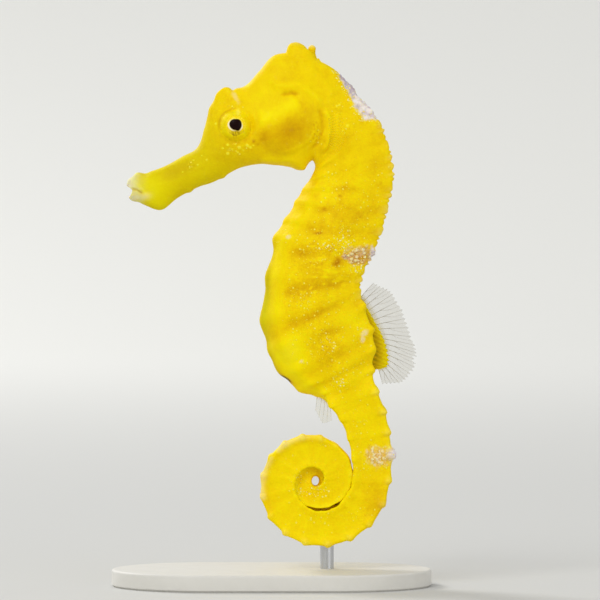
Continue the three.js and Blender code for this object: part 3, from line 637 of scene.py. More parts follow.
# Grooves between the tail's rings, pressed in a little and darkened as painted shade.
tail_groove = hill(phase, 0.45, 0.2) * on_tail
lift -= 0.04 * tail_groove * np.minimum(1, half / 3)[:, None]
tone -= 0.07 * tail_groove * (1 - 0.5 * second_turn)
tone += 0.1 * second_turn + 0.24 * first_turn
add_spots(tone, first_turn, [TAIL_SHADE])
add_spots(tone, on_tail, [COIL_SHADE])
from_hole = np.stack([X - COIL_CENTRE[0], 0 * X, Z - COIL_CENTRE[1]], axis=-1)
# Painted shade round the hole in the middle of the coil.
tone -= 0.9 * in_coil * before(np.linalg.norm(from_hole, axis=-1), 0.8, 1.25)
# Painted light that lifts the shadow the turns cast on one another: on the inner face of each turn of the
# coil, and on the outer part of the turns inside the first.
tone += 0.5 * (in_coil * before(FOLD, 1.4, 2.4) + second_turn * smoothstep(FOLD, 4.6, 6))
turned = coil_turn(np.clip(UU - COIL_START, -3, None))


def cracked(turns, whorls=0):
    """1 between a crack's two turns, or on the skin that lies that many whorls further out."""
    low, high = (turn - 360 * whorls for turn in turns)
    return window(turned, low - CRACK_SOFT, low + CRACK_SOFT, high - CRACK_SOFT, high + CRACK_SOFT)


outer_face = window(FOLD, 6.0, 6.6, 7.1, 7.7)
inner_face = window(FOLD, 0.3, 0.9, 1.1, 2.0)
crack = cracked(CRACK_FOOT) * outer_face + cracked(CRACK_FOOT, 1) * inner_face
lift -= 0.3 * crack
crack += cracked(CRACK_BESIDE) * outer_face + cracked(CRACK_BESIDE, 1) * inner_face
# The crack and the line beside the tail are painted dark: painted shadow between the turns.
tone -= 1.5 * np.minimum(1, crack)
gape = cracked(CRACK_FOOT, 1) * window(FOLD, 0.3, 0.9, 1.8, 2.9)
gape -= cracked(CRACK_FOOT) * window(FOLD, 5.2, 6.1, 7.1, 7.7)

# ---- rough white patches

NAPE_START = (13.6, 14.6)  # stations over which the nape's patch begins
NAPE_LINE = [(336, 68), (345, 77), (353, 86), (360, 96), (367, 106), (379, 120)]
BACK_PATCH = (360, 255, 17, 12)
BACK_PATCH_EDGE = (372, 253, 3.4, 10)
TAIL_PATCH = (378, 456, 16, 12)
TAIL_PATCH_MIDDLE = (379, 456, 8, 7)
TUFT = (391.5, 453, 5, 5.5)


def blobs(cell, seed):
    return smoothstep(bumps(skin, cell, seed), 0.36, 0.5)


nape_gap, nape_along = line_distance(X, Z, NAPE_LINE)
nape_widening = 3.0 * smoothstep(nape_along, 0.03, 0.2) + 9.5 * nape_along**1.1
nape_room = PIXEL * (1.2 + nape_widening * before(nape_along, 0.84, 1.0)) - nape_gap
nape = smoothstep(nape_room + 0.6 * ragged, -0.15, 0.55) * smoothstep(UU, *NAPE_START)
nape *= before(UU + 0.5 * ragged, 18.1, 18.8)
pale += nape
# Pink toward the back line turns the patch lilac-grey, a painted shade where it curves away from the light;
# pink at its front is its own colour.
pink += nape * (smoothstep(FOLD + 0.6 * ragged, 6.9, 7.9) + 0.4 * before(nape_along, 0.35, 0.6))
lift += nape * (0.5 * bumps(skin, 1.1, 23) + 0.1 * noise(skin, 0.6, 27) - 0.32)
specks += 1.2 * smoothstep(nape_room + 0.9, -0.4, 0.6) * window(UU, *NAPE_START, 18.4, 19.2)

over_back = 1 - 0.85 * smoothstep(FOLD + 0.5 * ragged, 6.9, 7.7)
back_patch = blot(*BACK_PATCH) * window(UU, 20.4, 21.6, 26, 27) * over_back
back_patch = smoothstep(back_patch + 0.35 * ragged, 0.35, 0.75)
mark(back_patch, tone=-0.75, specks=1.1)
mark(back_patch * (1 + 0.9 * noise(skin, 0.7, 83)), pink=0.5)
mark(back_patch * blobs(0.62, 25), cream=1.2, lift=0.3)
pale += 0.9 * on_trunk * smoothstep(blot(*BACK_PATCH_EDGE) + 0.35 * ragged, 0.4, 0.8) * over_back

tail_patch = blot(*TAIL_PATCH) * smoothstep(UU, 30, 31) * over_back
tail_patch = smoothstep(tail_patch + 0.25 * ragged, 0.3, 0.75)
mark(tail_patch, tone=-0.45, pink=0.3 + 0.4 * blot(*TAIL_PATCH_MIDDLE))
mark(tail_patch * blobs(0.64, 26), cream=1.1, lift=0.16)
tuft = blot(*TUFT) * smoothstep(FOLD, 5.2, 6.4) * first_turn * over_back
pale += 1.5 * tuft
lift += tuft * (0.45 + 0.4 * bumps(skin, 0.7, 28))

# ---- pale dots, edges and grains

# Where pale dots gather: pixel, half length, half width and how thickly they lie.
SPECK_GROUPS = [
    (325, 246, 20, 7, 0.8), (342, 238, 6, 9, 0.9), (360, 268, 12, 7, 1.0), (315, 262, 22, 5, 0.5),
    (302, 298, 16, 12, 0.45), (318, 330, 16, 9, 0.45), (328, 345, 10, 9, 0.85), (359, 329, 7, 7, 0.5),
    (340, 382, 9, 10, 0.8), (335, 183, 9, 8, 0.45), (349, 128, 9, 10, 0.4), (338, 106, 8, 5, 0.5),
    (316, 136, 5, 10, 0.6), (285, 238, 9, 9, 0.35), (378, 372, 7, 16, 0.3), (362, 420, 10, 22, 0.3),
    (316, 492, 17, 6, 1.3), (298, 480, 6, 9, 0.8), (364, 515, 12, 7, 0.6), (268, 472, 7, 6, 0.5),
    (327, 446, 5, 4, 0.6), (305, 520, 18, 8, 0.2),
]
TRUNK_SPECKS = [(345, 240, 8, 8, 1.3)]
TAIL_SPECKS = [(377, 456, 17, 14, 1.0)]
add_spots(specks, 1, SPECK_GROUPS)
add_spots(specks, on_trunk, TRUNK_SPECKS)
add_spots(specks, on_tail, TAIL_SPECKS)
specks += (0.16 * on_trunk * smoothstep(UU, 18, 20) + 0.05 * breast) * lateral + 0.05 * on_tail
specks *= 1 - 0.6 * nape

# A painted rim highlight, whitish along the outer edge of the coil, most on its upper left, and along the
# back line of the brow and the crown; the spikes of the tail's edge are paler too.
edge = hill(FOLD, 6.05, 0.4)
upper_left = smoothstep(-(X - COIL_CENTRE[0]) + 0.5 * (Z - COIL_CENTRE[1]), 2, 9)
spikes = hill(np.mod(UU + 0.5, 1), 0.47, 0.16)
rim_highlight_and_pale_spikes = (0.42 * upper_left + 0.14 * spikes) * smoothstep(noise(skin, 1.6, 31), -0.5, 0.2)
cream += edge * (in_coil * (1 - second_turn) * rim_highlight_and_pale_spikes + 0.12 * spikes * on_tail * (1 - in_coil))
back_line = smoothstep(FOLD, 7.3, 7.9)
# painted rim highlight along the back line of the head:
mark(back_line * window(UU, 6.5, 8, 9.6, 10.4), cream=0.5, green=0.5)
mark(back_line * window(UU, 9.6, 10.4, 11, 12), cream=0.25)

# Small grains all over, coarser along the back.
lift += 0.028 * bumps(skin, 0.6, 41) * (0.5 + 0.5 * smoothstep(UU, 6, 9))
lift += 0.05 * noise(skin, 1.4, 42) * smoothstep(UU, 3, 8)
ridge_grain = smoothstep(FOLD, 5.8, 7.0) * smoothstep(UU, 15.5, 17.5) * (1 - second_turn)
lift += ridge_grain * (0.1 * bumps(skin, 0.95, 43) + 0.06 * noise(skin, 0.5, 44))

# A row of small teeth along each of the two keels of the back.
TOOTH = 1.3  # their pitch
back_run = np.concatenate([[0], np.cumsum(np.hypot(*np.diff(back, axis=0).T))])[:, None] / TOOTH
back_run = back_run + 0.22 * np.sin(2.1 * back_run) + 0.12 * np.sin(3.7 * back_run + 1)
tooth_number = np.floor(back_run).astype(np.int64)
tooth_size = hashed(tooth_number, (SIDE < SIDES / 2).astype(np.int64), 0, 47)
teeth = np.abs(np.sin(math.pi * back_run)) ** 0.7 * (0.2 + 0.8 * tooth_size)
keels = hill(FOLD, 6.4, 0.42) * window(UU, 17.5, 18.5, 24.5, 26.5)
lift += 0.62 * keels * (teeth - 0.5)
cream += 0.32 * keels * smoothstep(teeth, 0.35, 0.8)

# ---- the coronet

CROWN_START, CROWN_END, THORN_END = 9, 15.5, 17  # stations that bear the coronet, and then the thorn
COMB = (5.3, 2.5, 1.75)  # its middle along X, and how far it reaches along X and Y
COMB_DOME = (4.3, 1.85, 1.4)
COMB_HEIGHT = 1.2
COMB_DOME_HEIGHT = 0.72
THORN = (8.25, 0.28, 0.4)  # the small thorn behind it: place along X, radius and height
comb_x, comb_y = (X - COMB[0]) / COMB[1], Y / COMB[2]
comb_r = np.hypot(comb_x, comb_y)
dome_r = np.hypot((X - COMB_DOME[0]) / COMB_DOME[1], Y / COMB_DOME[2])
top_side = smoothstep(FOLD, 6.2, 6.8) * (UU > CROWN_START) * (UU < CROWN_END)
column = top_side * before(comb_r, 0.74, 1.08)
dome = top_side * np.clip(1 - dome_r**2, 0, 1)
lobes = top_side * hill(comb_r, 0.78, 0.22) * np.cos(5 * np.arctan2(comb_y, comb_x))
rise = COMB_HEIGHT * column + COMB_DOME_HEIGHT * dome + 0.1 * lobes + 0.06 * column * noise(skin, 0.7, 51)
flare = 0.26 * top_side * hill(comb_r, 0.88, 0.17)
thorn = hill(np.hypot(X - THORN[0], Y), 0, THORN[1]) * smoothstep(FOLD, 6.5, 7)
thorn *= (UU > CROWN_START) * (UU < THORN_END)
shift = np.stack([flare * comb_x, flare * comb_y, rise + THORN[2] * thorn], axis=-1)
shift += 0.22 * gape[..., None] * unit(from_hole)
cream += 0.3 * smoothstep(rise, 1.35, 1.75) * smoothstep(noise(skin, 0.8, 52), -0.5, 0.6)

# The knob at the coronet's rear is a small ball: the skin round KNOB_FOOT is drawn up over it.
KNOB_FOOT = 7.0
KNOB = (7.08, 93.95)
KNOB_RADIUS = 0.68
KNOB_SKIN = 0.75  # radius of the skin that covers it, as far round as this angle
KNOB_ANGLE = math.radians(130)
knob_r = np.hypot(X - KNOB_FOOT, Y)
knob_angle = KNOB_ANGLE * knob_r / KNOB_SKIN
knob_wide = KNOB_RADIUS * np.sin(np.minimum(knob_angle, math.pi)) / np.maximum(knob_r, 1e-6)
knob_ball = [KNOB[0] + knob_wide * (X - KNOB_FOOT), knob_wide * Y, KNOB[1] + KNOB_RADIUS * np.cos(knob_angle)]
cream += 0.4 * top_side * before(knob_r, 0.25, 0.5)
# Painted shade in the crease round the knob's foot.
tone -= 0.2 * top_side * hill(knob_r, 0.8, 0.2)

skin = skin + normal * lift[..., None] + shift
skin += (np.stack(knob_ball, axis=-1) - skin) * (top_side * before(knob_r, 0.66, 0.98))[..., None]

# ---- the eyelids

EYE_CENTRE = (-6.2, 3.0, 80.5)
EYE_RADIUS = 2.65
EYE_BULGE = 2.25
LID = 1.8  # radius of the opening between the lids
LID_THICKNESS = 0.07
LIDS_START, LIDS_END = 5, 13  # stations between which the lids lie
LIDS_FROM_MIDDLE = 1.5  # how far out sideways they start
STROKES_UNDER_EYE = (235.6, 136.6, 3.4, 3.2)


def ball_height(r):
    """How far the eyeball reaches sideways at distance r from its axis."""
    return EYE_CENTRE[1] + EYE_BULGE * np.sqrt(np.clip(1 - (r / EYE_RADIUS) ** 2, 0, 1))


eye_x = skin[..., 0] - EYE_CENTRE[0]
eye_z = skin[..., 2] - EYE_CENTRE[2]
eye_r = np.hypot(eye_x, eye_z)
eye_a = np.arctan2(eye_z, eye_x)
side_reach = np.abs(skin[..., 1])
near_eye = (UU > LIDS_START) * (UU < LIDS_END) * (side_reach > LIDS_FROM_MIDDLE)
lid_r = LID + 0.05 * np.sin(3 * eye_a + 1) + 0.06 * np.sin(7 * eye_a)
wrinkle = 0.035 * np.sin(26 * eye_a + 3 * noise(skin, 0.8, 61)) * smoothstep(eye_r, 2.2, 2.5)
cover = ball_height(np.minimum(eye_r, 2.6)) + LID_THICKNESS + wrinkle
hidden = ball_height(eye_r) - 0.7
lid = np.where(eye_r < lid_r, hidden + (cover - hidden) * smoothstep(eye_r, lid_r - 0.32, lid_r), cover)
blend = before(eye_r, 2.35, 3.6)
groove_ring = 0.15 * hill(eye_r, 3.0, 0.26) * (0.3 + 0.7 * smoothstep(np.cos(eye_a - 2.5), 0.2, 0.9))
reach = side_reach * (1 - blend) + lid * blend - groove_ring
skin[..., 1] = np.where(near_eye, np.sign(skin[..., 1]) * reach, skin[..., 1])

# Their tones: pale below, with painted shade in the groove in front of and above the eye and in a band
# below it, and fine spokes and strokes.
lids = window(eye_r, LID - 0.3, LID, 2.5, 3.1)
spokes = noise(np.stack([np.cos(eye_a) * 5, np.sin(eye_a) * 5, eye_r * 0.8], axis=-1), 0.42, 62)
strokes = blot(*STROKES_UNDER_EYE) * (0.75 + 0.5 * np.sin(14 * eye_x + 3 * eye_z))
shade = (0.2 + 0.35 * smoothstep(-eye_z, 0.2, 1.6)) * lids - 0.8 * strokes
shade -= 0.55 * hill(eye_r, 2.95, 0.2) * smoothstep(np.cos(eye_a - 2.55), 0.45, 0.95)
shade -= 0.3 * hill(eye_r, 2.7, 0.5) * smoothstep(-eye_z, 0.5, 2.2)
tone += near_eye * (shade + 0.3 * spokes * window(eye_r, 1.6, 1.9, 2.6, 3.2))

# ---- the mouth and the tail's tip

LIP_RIDGE = [(133, 181.5), (138.5, 185.5), (143.5, 191), (146, 195)]
MOUTH_SLIT = [(132.5, 188.5), (137, 189.5), (141.5, 193)]
SLIT_WIDTH = 0.3
MOUTH_NOTCH = (130, 191.5, 5.5, 4.5)
LIP_CORNER = (146.5, 195.5, 4.5, 3.5)
CORNER_EDGE = (146, 196.5, 5.5, 3.4, 10)
LOWER_LIP_SPOT = (136, 198, 7, 5)
UPTURNED_TIP = [(137.5, 173, 5, 5, 0.2), (145.5, 176, 4.5, 5, -0.28)]
MUZZLE_SHADES = [(153, 187, 14, 13, 0.9), (161, 203, 11, 7, 0.6)]
# Pixels along the picture from which the upper and the lower lip whiten, and where they are white.
WHITE_ABOVE = (142, 134)
PALE_ABOVE = (136, 129)
WHITE_BELOW = (147, 137)
UPPER_LIP_END = 148
UPPER_LIP_LEVEL = 180
LIP_SWELL = 0.3


def push_out(amount):
    """Moves the skin outwards along its normal."""
    skin[...] += normal * amount[..., None]


def further_forward(reach, pixels):
    """1 where reach, a distance towards -X, passes the second pixel column, and 0 before the first."""
    return smoothstep(reach, *(-seen(px, 0)[0] for px in pixels))


# How far back the lips reach, the mouth with its corners, and the whole muzzle.
lips, mouth, muzzle = UU < 4, UU < 4.5, UU < 5
lip_gap = np.linalg.norm(skin - skin[:1], axis=-1)
push_out(0.12 * lips * hill(lip_gap, 0, 0.5))
push_out(0.13 * lips * (hill(lip_gap, 0.75, 0.5) - 0.8 * hill(lip_gap, 1.9, 0.45)))
above = smoothstep(FOLD, 3.8, 4.4)
below = 1 - above
front = -skin[..., 0] + 0.35 * noise(skin, 0.7, 82)
upper_front = front + 0.25 * (skin[..., 2] - seen(0, UPPER_LIP_LEVEL)[1])
white_upper = above * further_forward(upper_front, WHITE_ABOVE)
white_lower = below * further_forward(front, WHITE_BELOW)
pale += 0.45 * above * mouth * further_forward(upper_front, PALE_ABOVE)
add_spots(tone, UU < 6, MUZZLE_SHADES)
cream += 0.66 * mouth * (white_upper + 0.8 * white_lower * (0.8 + 0.5 * noise(skin, 0.5, 81)))
cream += 0.7 * lips * (above * hill(lip_gap, 0, 1.35) + below * hill(lip_gap, 0, 1.0))
cream += 0.2 * lips * (FOLD > 4) * smoothstep(seen(UPPER_LIP_END, 0)[0] - skin[..., 0], -0.5, 1.6)
cream += 0.6 * muzzle * blot(*CORNER_EDGE)
lip_ridge = muzzle * hill(line_distance(skin[..., 0], skin[..., 2], LIP_RIDGE)[0], 0, 0.3)
tone += 0.7 * lip_ridge
push_out(0.1 * lip_ridge)
push_out(smoothstep(FOLD, 5.5, 7) * muzzle * sum(much * blot(*spot) for *spot, much in UPTURNED_TIP))
slit_gap = line_distance(skin[..., 0], skin[..., 2], MOUTH_SLIT)[0]
mouth_line = muzzle * (1 - np.minimum(1, slit_gap / SLIT_WIDTH))
# The slit between the lips is pressed in and painted dark: painted shade in the slit.
tone -= 1.2 * mouth_line
cream *= 1 - 0.8 * mouth_line
push_out(-0.22 * mouth_line)
skin[..., 2] -= 0.55 * below * muzzle * blot(*MOUTH_NOTCH)
mark(muzzle * blot(*LIP_CORNER), green=-0.6, tone=0.5)
mark(muzzle * below * blot(*LOWER_LIP_SPOT), tone=0.8, cream=0.3, pale=0.25)

# Inside, the lips run back to one line between the corners, so that the mouth is nearly shut.
INSIDE_SHARES = (0.06, 0.16, 0.28, 0.42, 0.56, 0.7, 0.85, 1.0)  # of the way from the rim to that line
INSIDE_ROWS = len(INSIDE_SHARES)
rim = skin[0]
corner = rim[[np.abs(SIDE - 4).argmin(), np.abs(SIDE - 12).argmin()]].mean(axis=0)
closing = np.stack(
    [np.full(COLUMNS, corner[0] + 0.35), 0.6 * rim[:, 1], corner[2] + 0.12 * (rim[:, 2] - corner[2])], axis=-1
)
over_corner = np.abs(rim[:, 2:3] - corner[2]) / np.abs(rim[:, 2] - corner[2]).max()
swell = LIP_SWELL * over_corner * (-1.0, 0.0, 0.0)
inside = [rim + (closing - rim) * k + swell * math.sin(math.pi * k**0.7) for k in INSIDE_SHARES]
skin = np.concatenate([np.array(inside[::-1]), skin])


def lengthened(mask, deepest=0.0, at_rim=0.0, power=1):
    """The mask with rows for the mouth's inside put before it."""
    rows = np.linspace(deepest, at_rim, INSIDE_ROWS)[:, None] ** power
    return np.concatenate([rows * np.ones(COLUMNS), mask])


# The inside of the mouth is painted darker towards the deepest row, and brown through the inside mask:
# painted shade in the mouth.
masks = {
    "tone": lengthened(tone, -0.6, 0.4),
    "specks": lengthened(specks),
    "pale": lengthened(pale, -0.2, 0.5),
    "pink": lengthened(pink),
    "cream": lengthened(cream, 0.1, 1.1),
    "green": lengthened(green),
    "inside": lengthened(0 * UU, 1, 0, power=2),
}

# The middle of the coil is squeezed a little along X, and the tail's tip is rounded.
TIP_ROWS = 14
squeeze = 0.32 * hill(np.hypot(skin[..., 0] - COIL_CENTRE[0], skin[..., 2] - COIL_CENTRE[1]), 0, 1.3)
skin[..., 0] -= squeeze * (skin[..., 0] - COIL_CENTRE[0])
tip_middle = skin[-TIP_ROWS:].mean(axis=1, keepdims=True)
taper = np.sqrt(np.clip(1 - (np.arange(1, TIP_ROWS + 1) / TIP_ROWS) ** 2, 0.0004, 1))[:, None, None]
skin[-TIP_ROWS:] = tip_middle + (skin[-TIP_ROWS:] - tip_middle) * taper

# ---- mesh helpers


def make_mesh(name, points, faces, caps=(), smooth=True):
    """A mesh object from points in millimetres, faces of equal size and a few caps of any size."""
    mesh = bpy.data.meshes.new(name)
    points = np.asarray(points, dtype=np.float32).reshape(-1, 3) * MM
    faces = np.asarray(faces, dtype=np.int32)
    corners = np.concatenate([faces.ravel(), *(np.asarray(cap, dtype=np.int32) for cap in caps)])
    sizes = np.concatenate([np.full(len(faces), faces.shape[1]), [len(cap) for cap in caps]]).astype(np.int32)
    mesh.vertices.add(len(points))
    mesh.vertices.foreach_set("co", points.ravel())
    mesh.loops.add(len(corners))
    mesh.loops.foreach_set("vertex_index", corners)
    mesh.polygons.add(len(sizes))
    mesh.polygons.foreach_set("loop_start", np.concatenate([[0], np.cumsum(sizes)[:-1]]).astype(np.int32))
    mesh.polygons.foreach_set("use_smooth", np.full(len(sizes), smooth))
    mesh.update(calc_edges=True)
    thing = bpy.data.objects.new(name, mesh)
    bpy.context.scene.collection.objects.link(thing)
    return thing


def set_mask(thing, name, values):
    layer = thing.data.attributes.new(name, "FLOAT", "POINT")
    layer.data.foreach_set("value", np.asarray(values, dtype=np.float32).ravel())


def set_uv(thing, corner_uv):
    layer = thing.data.uv_layers.new(name="OFBake")
    layer.data.foreach_set("uv", np.asarray(corner_uv, dtype=np.float32).ravel())


def grid_faces(rows, columns, closed=True):
    """Quads of a grid; closed joins its last column to its first."""
    row, j = np.meshgrid(np.arange(rows - 1), np.arange(columns if closed else columns - 1), indexing="ij")
    low, k = row * columns, (j + 1) % columns
    return np.stack([low + j, low + k, low + columns + k, low + columns + j], axis=-1).reshape(-1, 4)


def outward_faces(points, quads):
    """The quads turned so that they face out of the closed form."""
    p = points.reshape(-1, 3)[quads]
    volume = np.einsum("ij,ij->i", p[:, 0], np.cross(p[:, 1], p[:, 2]) + np.cross(p[:, 2], p[:, 3])).sum()
    return quads if volume > 0 else quads[:, ::-1]


def end_caps(quads, rows, columns):
    """Whether the quads of a closed tube start at its first point, and caps for its ends to match them."""
    first = np.arange(columns)
    last = first + (rows - 1) * columns
    plain = quads[0, 0] == 0
    return plain, [first[::-1], last] if plain else [first, last[::-1]]


# ---- materials


def linear(*srgb):
    """A colour from 0 to 255 in sRGB as linear values with alpha."""
    shares = [value / 255 for value in srgb]
    return [c / 12.92 if c <= 0.04045 else ((c + 0.055) / 1.055) ** 2.4 for c in shares] + [1.0]


class Shader:
    """A material being wired: node() adds one, and its inputs take values or other nodes' outputs."""

    def __init__(self, name):
        self.material = bpy.data.materials.new(name)
        self.material.use_nodes = True
        self.tree = self.material.node_tree
        self.surface = self.tree.nodes["Principled BSDF"]
        self.place = self.tree.nodes.new("ShaderNodeTexCoord").outputs["Object"]

    def link(self, value, socket):
        if isinstance(value, bpy.types.NodeSocket):
            self.tree.links.new(value, socket)
        else:
            socket.default_value = value

    def node(self, kind, inputs, output=0, **settings):
        made = self.tree.nodes.new("ShaderNode" + kind)
        for key, value in settings.items():
            setattr(made, key, value)
        for key, value in inputs.items():
            self.link(value, made.inputs[key])
        return made.outputs[output]

    def math(self, operation, a, b, clamp=False):
        return self.node("Math", {0: a, 1: b}, operation=operation, use_clamp=clamp)

    def scaled(self, a, b, clamp=False):
        return self.math("MULTIPLY", a, b, clamp)

    def mask(self, name):
        return self.node("Attribute", {}, output="Fac", attribute_name=name)

    def mix(self, share, a, b):
        return self.node("Mix", {"Factor": share, 6: a, 7: b}, output=2, data_type="RGBA")

    def tint(self, color, mask, strength, other):
        """The colour, turned into the other one as far as the mask says."""
        return self.mix(self.scaled(self.mask(mask), strength, clamp=True), color, other)

    def ramp(self, value, stops):
        """A colour ramp through stops, a dictionary from place to colour."""
        made = self.tree.nodes.new("ShaderNodeValToRGB")
        line = made.color_ramp
        while len(line.elements) < len(stops):
            line.elements.new(0.5)
        for element, (position, color) in zip(line.elements, stops.items()):
            element.position = position
            element.color = color
        self.link(value, made.inputs[0])
        return made.outputs[0]

    def noise(self, cell, detail=2.0, roughness=0.5):
        """Noise from 0 to 1 whose cells are that many millimetres."""
        inputs = {"Vector": self.place, "Scale": 1 / (cell * MM), "Detail": detail, "Roughness": roughness}
        return self.node("TexNoise", inputs)

    def cells(self, cell, output="Distance", feature="F1"):
        inputs = {"Vector": self.place, "Scale": 1 / (cell * MM)}
        return self.node("TexVoronoi", inputs, output=output, feature=feature)

    def step(self, value, low, high):
        inputs = {"Value": value, "From Min": low, "From Max": high}
        return self.node("MapRange", inputs, interpolation_type="SMOOTHSTEP")

    def dots(self, cell, channel, wanted, edge, core):
        """Round dots: a cell holds one where wanted is above the cell's own random number."""
        pick = self.node("SeparateColor", {0: self.cells(cell, "Color")}, output=channel)
        chosen = self.step(self.math("SUBTRACT", wanted, pick), -0.02, 0.04)
        return self.scaled(self.step(self.cells(cell), edge, core), chosen)

    def bump(self, height, depth, under=None):
        """A bump whose height 1 stands depth millimetres high."""
        inputs = {"Height": height, "Distance": depth * MM, "Strength": 1.0}
        if under is not None:
            inputs["Normal"] = under
        return self.node("Bump", inputs)

    def set(self, **values):
        for key, value in values.items():
            self.link(value, self.surface.inputs[key.replace("_", " ")])


def skin_material():
    sh = Shader("seahorse_skin")
    grainy = sh.math("ADD", 0.3, sh.scaled(sh.mask("specks"), 1.3, clamp=True))
    tone_in = sh.mask("tone")
    for strength, *grain in ((0.55, 2.6, 3, 0.55), (0.4, 0.9, 2, 0.6), (grainy, 0.35, 2, 0.6)):
        layer = sh.math("SUBTRACT", sh.noise(*grain), 0.5)
        tone_in = sh.math("ADD", tone_in, sh.scaled(layer, strength))
    color = sh.ramp(
        sh.scaled(sh.math("ADD", tone_in, 1.5), 1 / 3),
        {
            0.0: linear(88, 54, 4),
            0.17: linear(200, 142, 0),
            0.34: linear(226, 182, 0),
            0.5: linear(244, 212, 0),
            0.68: linear(253, 230, 0),
            1.0: linear(255, 236, 40),
        },
    )
    color = sh.tint(color, "green", 0.55, linear(204, 202, 2))
    pinkish = sh.mix(sh.step(sh.noise(0.5, 2), 0.3, 0.6), linear(212, 156, 58), linear(242, 206, 168))
    color = sh.tint(color, "pink", 0.8, pinkish)
    creamy = sh.mix(sh.noise(0.6, 2), linear(250, 226, 140), linear(244, 228, 200))
    color = sh.tint(color, "cream", 0.85, sh.tint(creamy, "green", 0.9, linear(222, 222, 138)))
    crust = sh.mix(sh.step(sh.noise(0.85, 3, 0.5), 0.3, 0.62), linear(205, 192, 194), linear(241, 233, 230))
    color = sh.tint(color, "pale", 0.95, sh.mix(sh.mask("pink"), crust, linear(184, 172, 184)))

    # Pale dots of two sizes, whiter where they crowd.
    wanted = sh.scaled(sh.mask("specks"), 0.95, clamp=True)
    large = sh.dots(0.62, 0, wanted, 0.33, 0.2)
    small = sh.dots(0.33, 1, sh.scaled(wanted, 0.7), 0.34, 0.18)
    dots = sh.math("MAXIMUM", large, sh.scaled(small, 0.85))
    dot_color = sh.mix(sh.noise(1.5, 1), linear(255, 228, 0), linear(255, 242, 110))
    dot_color = sh.mix(sh.step(sh.mask("specks"), 0.45, 1.0), dot_color, linear(255, 247, 165))
    dot_color = sh.mix(sh.mask("pink"), dot_color, linear(255, 240, 184))
    color = sh.mix(sh.scaled(dots, 0.9), color, dot_color)
    # painted shade inside the mouth
    color = sh.mix(sh.mask("inside"), color, linear(120, 84, 20))

    pebbles = sh.math("SUBTRACT", 1.0, sh.cells(0.24, feature="SMOOTH_F1"))
    height = sh.math("ADD", sh.scaled(pebbles, 0.5), sh.noise(0.3, 3, 0.6))
    sh.set(
        Base_Color=color,
        Normal=sh.bump(dots, 0.05, sh.bump(height, 0.035)),
        Roughness=sh.math("ADD", 0.46, sh.scaled(sh.noise(1.2, 2), 0.2)),
        Subsurface_Weight=0.3,
        Subsurface_Radius=(1.0, 0.75, 0.06),
        Subsurface_Scale=0.8 * MM,
        Specular_IOR_Level=0.06,
    )
    return sh.material


# ---- the skin

# Its map: the tube is cut along the belly and unrolled into strips that lie side by side.
STRIPS = 5
MAP_SIZE = 0.985
MAP_MARGIN = 0.008
STRIP_GAP = 1.03
CAP_CORNER = 0.002  # both caps are at one point of the map

rows_total = len(skin)
faces = outward_faces(skin, grid_faces(rows_total, COLUMNS))
run = np.concatenate([[0], np.cumsum(np.linalg.norm(np.diff(skin.mean(axis=1), axis=0), axis=1))])
girth = np.linalg.norm(np.roll(skin, -1, axis=1) - skin, axis=-1).sum(axis=1)
strip_of = np.minimum((run[:-1] / run[-1] * STRIPS).astype(int), STRIPS - 1)  # of each row of faces
widest = np.array([girth[:-1][strip_of == k].max() for k in range(STRIPS)])
first_run = np.array([run[:-1][strip_of == k].min() for k in range(STRIPS)])
scale = MAP_SIZE / (STRIP_GAP * max(widest.sum(), run[-1] / STRIPS))
left = np.concatenate([[0], np.cumsum(widest * STRIP_GAP)])[:-1]
i, j = np.meshgrid(np.arange(rows_total - 1), np.arange(COLUMNS), indexing="ij")
strip = strip_of[i]


def strip_uv(row, column):
    u = left[strip] + widest[strip] / 2 + (column / COLUMNS - 0.5) * girth[row]
    v = run[row] - first_run[strip]
    return MAP_MARGIN + scale * np.stack([u, v], axis=-1)


corners = np.stack([strip_uv(i, j), strip_uv(i, j + 1), strip_uv(i + 1, j + 1), strip_uv(i + 1, j)], axis=2)
corners = corners.reshape(-1, 4, 2)
kept_order, caps = end_caps(faces, rows_total, COLUMNS)
if not kept_order:
    corners = corners[:, ::-1]

hide = make_mesh("skin", skin, faces, caps)
set_uv(hide, np.concatenate([corners.reshape(-1, 2), np.full((2 * COLUMNS, 2), CAP_CORNER)]))
for name, mask in masks.items():
    set_mask(hide, name, np.clip(mask, -1.5, 1.5))
skin_shader = skin_material()
hide.data.materials.append(skin_shader)
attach(hide, "root")
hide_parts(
    "snout", "head", "coronet", "neck", "trunk_upper", "trunk_middle", "trunk_lower",
    "tail_1", "tail_2", "tail_3", "tail_4", "tail_5", "tail_6",
)

# ---- the eyes

PUPIL_MIDDLE = (0.0, 0.26)  # from the eyeball's middle, in side view
# Distance from the pupil's middle to its edge, at angles counted in eighths of a turn from the rear.
PUPIL_EDGE = [1.04, 1.02, 0.86, 1.0, 1.12, 1.08, 1.06, 1.16]
PUPIL_NOTCH = (-68, 16, 0.16)  # its lower corner: angle and half width in degrees, and how far it reaches out
CORNEA = 0.12  # how far the clear front bulges out of the ball
CORNEA_RADIUS = 1.9
EYE_RINGS, EYE_SPOKES = 110, 96


